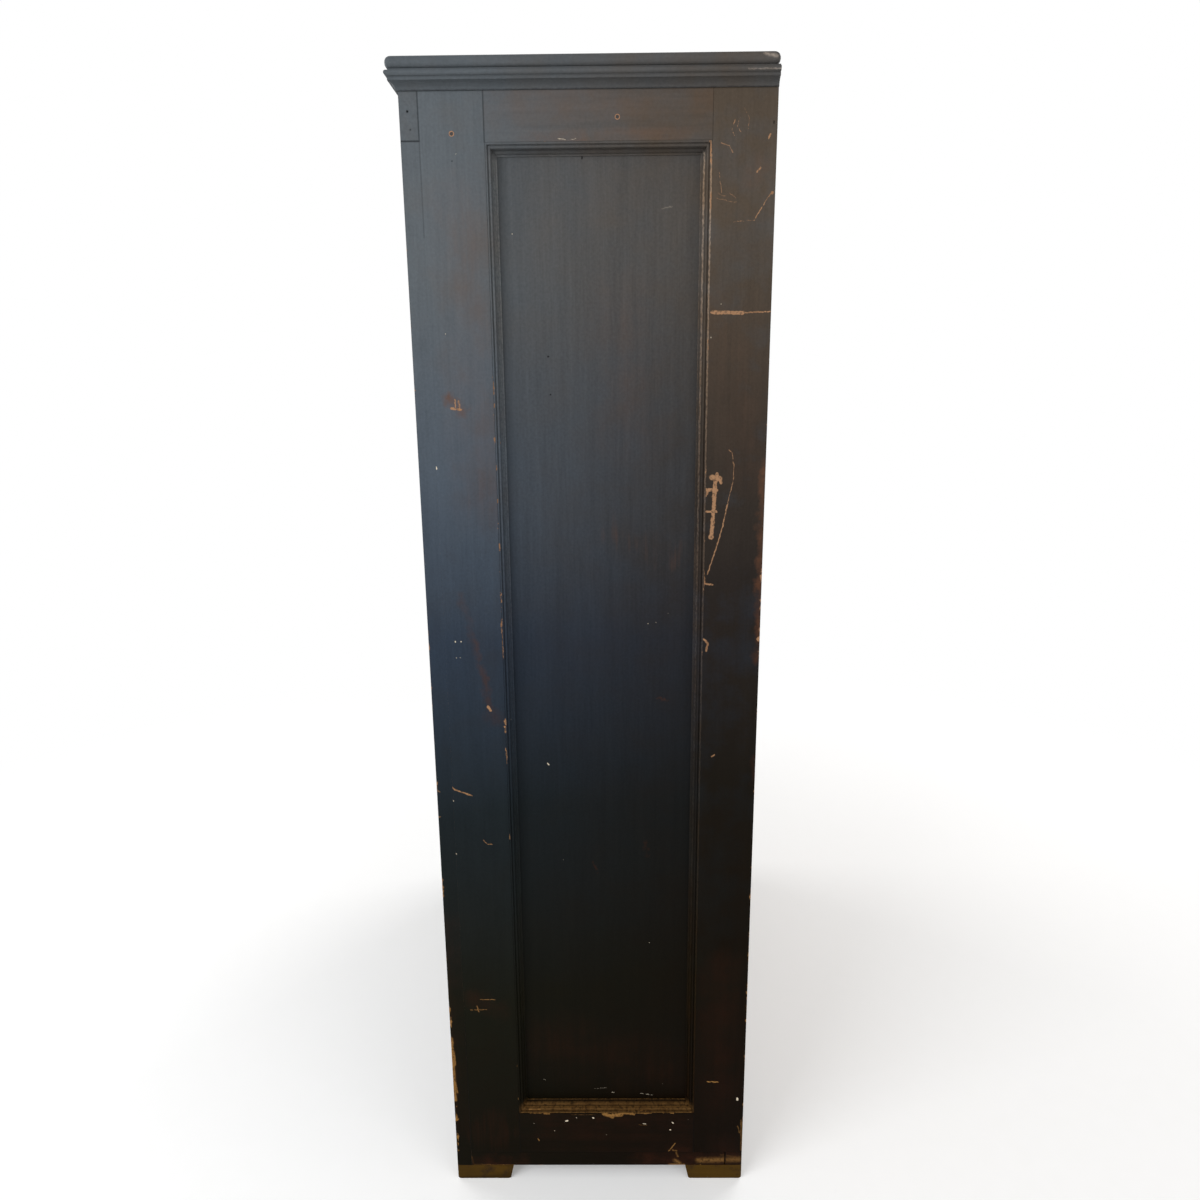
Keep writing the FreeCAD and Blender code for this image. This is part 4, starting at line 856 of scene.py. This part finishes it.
DOOR_EDGE = 1.5
HINGE_EDGE = 471
DOOR_LOW = 106
MOULDING_SIDES = (81.5, 391)
MOULDING_ENDS = (211, 1592.5)
KNOB = (41.5, 917.5)
DOOR = on_front({
    "rubbed": [
        (KNOB, 70, 0.5), ((10, 1250), (10, 640), 30, 0.45), ((-16, 1010), (-14, 800), 34, 0.4),
        ((60, 130), (430, 130), 50, 0.5), ((-440, 126), (-240, 122), 56, 0.5),
        ((-120, 118), (-20, 120), 40, 0.4), ((-430, 700), (-425, 420), 44, 0.3),
        ((440, 1330), (436, 1180), 40, 0.25), ((-300, 900), (-240, 640), 90, 0.2),
        ((250, 520), (320, 330), 90, 0.24),
    ],
    "chips": [
        ((DOOR_EDGE, 1300), (DOOR_EDGE, 560), 10, 1), ((DOOR_EDGE, 560), (DOOR_EDGE, DOOR_LOW), 6, 1),
        ((DOOR_EDGE, DOOR_LOW), (HINGE_EDGE, DOOR_LOW), 9, 1),
        ((HINGE_EDGE, 1677), (HINGE_EDGE, DOOR_LOW), 5, 1),
        ((MOULDING_SIDES[0], 209), (MOULDING_SIDES[1], 209), 8, 1),
    ],
    "bare": [
        ((30, 880), (33, 846), 2.4, 0.7), ((62, 1010), (54, 968), 1.6, 0.6),
        ((-28, 962), (-52, 948), (-60, 930), 1.6, 0.6), ((-20, 726), (-24, 706), 2.2, 0.6),
        ((120, 150), (182, 141), 1.8, 0.7), ((300, 170), (322, 150), 1.6, 0.6),
        ((-210, 168), (-176, 172), 1.8, 0.6), ((-380, 132), (-352, 140), 2.4, 0.6),
        ((-436, 1120), (-431, 1086), 1.6, 0.6), ((410, 760), (424, 742), 2, 0.6),
        ((452, 395), (449, 360), 1.6, 0.55), ((-60, 1630), (-20, 1636), 1.8, 0.55),
    ],
    "pale": [
        ((-40, 560), 1.8, 0.7), ((428, 902), 1.8, 0.6), ((-250, 130), (-244, 131), 1.8, 0.7),
        ((66, 148), 1.8, 0.7),
    ],
    "dark": [(KNOB, 26, 0.5)],
    "wear_and_highlights": [
        *[((side, MOULDING_ENDS[0]), (side, MOULDING_ENDS[1]), 2.2, 0.5) for side in MOULDING_SIDES],
        *[((MOULDING_SIDES[0], end), (MOULDING_SIDES[1], end), 2.2, 0.6) for end in MOULDING_ENDS],
    ],
})
FACE_FRAME = on_front({
    "rubbed": [
        ((-300, 70), (400, 62), 60, 0.5), ((520, 500), (520, 120), 40, 0.4),
        ((-520, 900), (-515, 560), 44, 0.35), ((-500, 300), (-515, 60), 50, 0.45),
    ],
    "bare": [
        ((-505, 742), (-498, 716), 2, 0.6), ((-90, 80), (-40, 76), 2, 0.6),
        ((150, 1716), (214, 1712), 1.8, 0.55), ((-512, 1302), (-506, 1296), 2.4, 0.6),
    ],
    "chips": [
        ((-535, 103), (535, 103), 8, 1), ((0, 28), (535, 28), 9, 1), ((535, 60), (535, 900), 7, 1),
        ((535, 900), (535, 1720), 4, 1), ((473, 103), (473, 1680), 5, 1), ((0, 1680), (473, 1680), 5, 1),
    ],
})

# The side that isn't in the photograph. Its chipped edges are written for the other side and mirrored.

OTHER_SIDE = joined(on_other_side({
    "rubbed": [
        ((-180, 1100), (-150, 900), 60, 0.4), ((240, 700), (250, 300), 50, 0.4),
        ((-100, 90), (160, 80), 60, 0.4),
    ],
    "bare": [
        ((-190, 1210), (-172, 1168), 1.8, 0.7), ((200, 880), (216, 872), 3, 0.7),
        ((-140, 420), (-160, 402), 2.2, 0.7), ((60, 122), (92, 118), 2.4, 0.6),
        ((20, 1722), (66, 1716), 1.6, 0.6),
    ],
}), on_side({
    "chips": [
        ((FRONT_SEAM, 1600), (FRONT_SEAM, 300), 4, 1), ((REAR_Y, 30), (REAR_Y, 1100), 6, 1),
        ((-110, 137), (175, 137), 5, 1), ((-208, 30), (REAR_Y, 30), 6, 1),
    ],
}))

# The boxes in which the wood was left unpainted: two corners, and the axes along which the edge is uneven.
# Whole metres are beyond the cupboard.

EVEN_EDGE = (0, 0, 0)
HAIR = 0.01 * MM
SIDE_LAP = 5 * MM
PANEL_LAP = 3 * MM
DOOR_RIM = 4 * MM
DOOR_ROOM = 9 * MM
DOOR_PANEL_SKIN = 1 * MM
DOOR_PANEL_ROOM = 40 * MM
BASE_ROOM = 60 * MM
side_inside = ((0, -1, 0), (INNER_FACE + SIDE_LAP, 1, 2), EVEN_EDGE)
panel_inside = ((0, -1, 0), (PANEL_FACE - PANEL_LAP, 1, 2), EVEN_EDGE)
front_inside = ((0, FRAME_BACK - HAIR, 0), (1, 1, 2), EVEN_EDGE)
door_low, door_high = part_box("right_door_lock_stile")[0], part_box("right_door_hinge_stile")[1]
door_inside = ((door_low.x + DOOR_RIM, DOOR_BACK - DOOR_RIM, door_low.z + DOOR_RIM),
               (door_high.x - DOOR_RIM, DOOR_BACK + DOOR_ROOM, door_high.z - DOOR_RIM), (1, 0, 1))
door_panel_inside = ((0, DOOR_PANEL_FACE + DOOR_PANEL_SKIN, 0),
                     (1, DOOR_PANEL_FACE + DOOR_PANEL_ROOM, 2), EVEN_EDGE)
base_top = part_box("bottom_board")[1].z
base_inside = ((0, -1, base_top - HAIR), (INNER_FACE, 1, base_top + BASE_ROOM), EVEN_EDGE)


def seamed(name, grain, marks, inside=side_inside, **settings):
    """Paint with one board's marks and the side's dark joints."""
    return paint(name, grain, joined(marks, SEAMS), inside, **settings)


def front_paint(name, grain, marks, inside=None):
    """Paint of the front, the same on both sides of the middle."""
    return paint(name, grain, marks, inside, warmth=(0.2, 0.2), mirrored=True)


# The centres of the side's two nails, as (y, z) in millimetres
NAIL_CENTRES = ((-164.7, 1688.6), (55.4, 1706.7))

materials = {
    "right_side_front_stile": seamed("front_stile_paint", "z", FRONT_STILE, tone=1.03),
    "right_side_rear_stile": seamed("rear_stile_paint", "z", REAR_STILE),
    "right_side_top_rail": seamed("top_rail_paint", "y", TOP_RAIL),
    "right_side_bottom_rail": seamed("bottom_rail_paint", "y", BOTTOM_RAIL),
    "right_side_panel": paint("panel_paint", "z", PANEL, panel_inside, warmth=(0.05, 0.8), tone=0.87,
                              whole_side=True, mottling=0.6),
    "right_side_moulding": paint("moulding_paint", "z", MOULDING, whole_side=True),
    "face_right_stile": seamed("face_stile_paint", "z", joined(FACE_STILE, FACE_FRAME), front_inside),
    "face_top_rail": seamed("face_top_paint", "x", FACE_TOP, front_inside, warmth=(0.1, 0.4)),
}
upright_paint = paint("upright_paint", "z", OTHER_SIDE, side_inside, mirrored=True)
level_paint = paint("level_paint", "y", OTHER_SIDE, side_inside, mirrored=True)
other_panel_paint = paint("other_panel_paint", "z", inside=panel_inside)
across_paint = front_paint("across_paint", "x", FACE_FRAME, front_inside)
door_upright_paint = front_paint("door_upright_paint", "z", DOOR, door_inside)
door_panel_paint = front_paint("door_panel_paint", "z", DOOR, door_panel_inside)
door_level_paint = front_paint("door_level_paint", "x", DOOR, door_inside)
frame_upright_paint = front_paint("frame_upright_paint", "z", FACE_FRAME, front_inside)
door_moulding_paint = front_paint("door_moulding_paint", "z", DOOR)
trim_paint = paint("trim_paint", "z")
cornice_paint = paint("cornice_paint", "y", CORNICE, warmth=(0.0, 0.6), tone=0.96, dusty=True)
board_paint = paint("base_board_paint", "x", BASE, inside=base_inside, flecks=0.0)
shelf_wood = bare_wood("shelf_wood", "x", *INSIDE_WOOD, cell=("z", SHELF_PITCH))
back_wood = bare_wood("back_wood", "z", srgb(128, 104, 78), srgb(66, 50, 37), cell=("x", BACK_PITCH),
                      grime=0.45, stain_cells=7, nailed=True)
foot_wood = bare_wood("foot_wood", "y", srgb(86, 61, 14), srgb(24, 15, 2), grime=0.9, stain_cells=34,
                      specular=0.06)
iron = metal("iron", srgb(52, 47, 44), srgb(70, 42, 26), roughness=0.5)
steel = metal("steel", srgb(110, 96, 80), srgb(74, 44, 26), roughness=0.42)
knob_wood = bare_wood("knob_wood", "y", srgb(58, 34, 20), srgb(26, 16, 11), grime=0.3)
nail_heads = nail_metal(NAIL_CENTRES)

# The material of every other piece, by a part of its name
CASTS = {
    "side_front_stile": upright_paint, "side_rear_stile": upright_paint, "side_top_rail": level_paint,
    "side_bottom_rail": level_paint, "side_panel": other_panel_paint, "side_moulding": trim_paint,
    "door_hinge_stile": door_upright_paint, "door_lock_stile": door_upright_paint,
    "door_top_rail": door_level_paint, "door_bottom_rail": door_level_paint, "door_panel": door_panel_paint,
    "door_moulding": door_moulding_paint, "door_hinge_leaves": iron, "door_hinge_screws": steel,
    "face_left_stile": frame_upright_paint, "face_bottom_rail": across_paint,
    "door_stop": shelf_wood, "top_board": cornice_paint, "cornice_front": cornice_paint,
    "cornice_left": cornice_paint, "cornice_right": cornice_paint, "bottom_board": board_paint,
    "rear_sill": board_paint, "back_top_rail": shelf_wood, "top_cleats": shelf_wood, "shelf_": shelf_wood,
    "back_board_": back_wood, "front_feet": foot_wood, "rear_feet": foot_wood, "hinge_frame_leaves": iron,
    "hinge_pins": iron, "hinge_frame_screws": steel, "bolt_plate": iron, "bolt_rod": iron,
    "latch_": knob_wood, "side_nails": nail_heads,
}

# The pieces whose edges are softened, by a part of their names
SOFT_EDGES = ("stile", "rail", "board", "shelf", "sill", "feet", "cleats", "stop")
EDGE_WIDTH = 0.5 * MM
WELD_DISTANCE = 0.01 * MM
SHARPEST_SOFT = math.radians(40)


def soften(piece):
    """Rounds a piece's sharp edges a little."""
    weld = piece.modifiers.new("weld", "WELD")
    weld.merge_threshold = WELD_DISTANCE
    bevel = piece.modifiers.new("worn_edges", "BEVEL")
    bevel.width = EDGE_WIDTH
    bevel.segments = 2
    bevel.limit_method = "ANGLE"
    bevel.angle_limit = SHARPEST_SOFT
    bevel.harden_normals = True


for name, piece in NODES.items():
    material = materials.get(name)
    if material is None:
        material = next(cast for key, cast in CASTS.items() if key in name)
    piece.data.materials.clear()
    piece.data.materials.append(material)
    if any(key in name for key in SOFT_EDGES) and name != "top_board":
        soften(piece)


def new_object(name, points, faces, material):
    """An object with one material, from its corners and its faces."""
    mesh = bpy.data.meshes.new(name)
    mesh.from_pydata(points, [], faces)
    mesh.materials.append(material)
    made = bpy.data.objects.new(name, mesh)
    bpy.context.scene.collection.objects.link(made)
    return made


# Loose tongues in the joints between the back boards, so that no light comes through them

TONGUE_LAP = 3 * MM
TONGUE_INSET = 5 * MM
TONGUE_END = 1 * MM
BLOCK_FACES = ((0, 1, 3, 2), (4, 6, 7, 5), (0, 4, 5, 1), (2, 3, 7, 6), (0, 2, 6, 4), (1, 5, 7, 3))
tongue_points = []
tongue_faces = []
for number in (1, 2, 3):
    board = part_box(f"back_board_{number}")
    next_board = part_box(f"back_board_{number + 1}")
    spans = ((board[1].x - TONGUE_LAP, next_board[0].x + TONGUE_LAP),
             (board[0].y + TONGUE_INSET, board[1].y - TONGUE_INSET),
             (board[0].z + TONGUE_END, board[1].z - TONGUE_END))
    first = len(tongue_points)
    tongue_points += [(x, y, z) for x in spans[0] for y in spans[1] for z in spans[2]]
    tongue_faces += [tuple(first + corner for corner in face) for face in BLOCK_FACES]
tongues = new_object("back_tongues", tongue_points, tongue_faces, back_wood)
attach(tongues, "root")


# The floor, the light and the camera

FLOOR_REACH = 14
FLOOR_COLOURS = (srgb(236, 235, 233), srgb(240, 239, 238))
FLOOR_GLOW = 0.2
FLOOR_FADE = (1.1, 2.6)
SKY_LIGHT = 0.5
SKY_SEEN = 1.0


def seen_share(graph):
    """1 for the rays that show the backdrop, and 0 for those that only light."""
    rays = graph.node("LightPath").outputs
    return graph.most([rays["Is Camera Ray"], rays["Is Glossy Ray"], rays["Is Transmission Ray"]])


def floor_surface():
    """A pale floor that turns into a white backdrop away from the cupboard."""
    material, graph = new_material("floor")
    seen = seen_share(graph)
    speckle = graph.noise(object_place(graph), FLOOR_SPECKLE)
    diffuse = graph.node("BsdfDiffuse")
    graph.feed(diffuse.inputs["Color"], graph.mix(speckle, *FLOOR_COLOURS))
    glow = graph.node("Emission")
    graph.feed(glow.inputs["Strength"], graph.math("MULTIPLY", seen, FLOOR_GLOW))
    both = graph.node("AddShader")
    graph.feed(both.inputs[0], diffuse.outputs[0])
    graph.feed(both.inputs[1], glow.outputs[0])
    distance = graph.vector("LENGTH", object_place(graph))
    fade = graph.node("MixShader")
    graph.feed(fade.inputs[0], graph.math("MULTIPLY", seen, graph.rise(distance, *FLOOR_FADE)))
    graph.feed(fade.inputs[1], both.outputs[0])
    graph.feed(fade.inputs[2], graph.node("Emission").outputs[0])
    graph.feed(graph.node("OutputMaterial").inputs["Surface"], fade.outputs[0])
    return material


corners = [(x * FLOOR_REACH, y * FLOOR_REACH, 0) for x, y in ((-1, -1), (1, -1), (1, 1), (-1, 1))]
floor = new_object("floor", corners, [(0, 1, 2, 3)], floor_surface())

world = bpy.data.worlds.new("studio")
bpy.context.scene.world = world
world.use_nodes = True
world.node_tree.nodes.clear()
graph = Graph(world.node_tree)
sky = graph.node("Background")
graph.feed(sky.inputs["Color"], (1, 1, 1, 1))
graph.feed(sky.inputs["Strength"], graph.lerp(seen_share(graph), SKY_LIGHT, SKY_SEEN))
graph.feed(graph.node("OutputWorld").inputs["Surface"], sky.outputs[0])


def lamp(name, place, target, size, power, colour=(1, 1, 1)):
    """A rectangular lamp that points at its target. Its power is in watts."""
    data = bpy.data.lights.new(name, "AREA")
    data.shape = "RECTANGLE"
    data.size, data.size_y = size
    data.energy = power
    data.color = colour
    light = bpy.data.objects.new(name, data)
    light.location = place
    light.rotation_euler = (Vector(target) - Vector(place)).to_track_quat("-Z", "Y").to_euler()
    bpy.context.scene.collection.objects.link(light)


lamp("key", (2.7, -2.3, 2.1), (0.5, 0, 1.0), (2.4, 2.2), 80, (0.94, 0.97, 1))
lamp("front_fill", (-1.6, -3.2, 2.4), (0, 0, 1.0), (2.2, 2.2), 45)
lamp("back_fill", (-2.4, 2.6, 2.5), (0, 0, 1.1), (2.2, 2.2), 60)
lamp("rear_side_fill", (3.0, 2.2, 1.9), (0.5, 0, 0.9), (2.0, 2.0), 20)

# The photograph's camera, as solved from the side's outline
CAMERA_PLACE = (1.794, 0.039, 1.349)
YAW, PITCH, ROLL = math.radians(-0.552), math.radians(13.273), math.radians(-0.507)

view = bpy.data.cameras.new("view")
view.lens = 26
view.sensor_width = 36
camera = bpy.data.objects.new("view", view)
ahead = Vector((-math.cos(YAW) * math.cos(PITCH), math.sin(YAW) * math.cos(PITCH), -math.sin(PITCH)))
level = Vector((math.sin(YAW), math.cos(YAW), 0))
upward = level.cross(ahead)
right = math.cos(ROLL) * level + math.sin(ROLL) * upward
above = math.cos(ROLL) * upward - math.sin(ROLL) * level
turn = Matrix((right, above, -ahead)).transposed().to_4x4()
camera.matrix_world = Matrix.Translation(CAMERA_PLACE) @ turn
bpy.context.scene.collection.objects.link(camera)
bpy.context.scene.camera = camera
bpy.context.scene.view_settings.view_transform = "Standard"
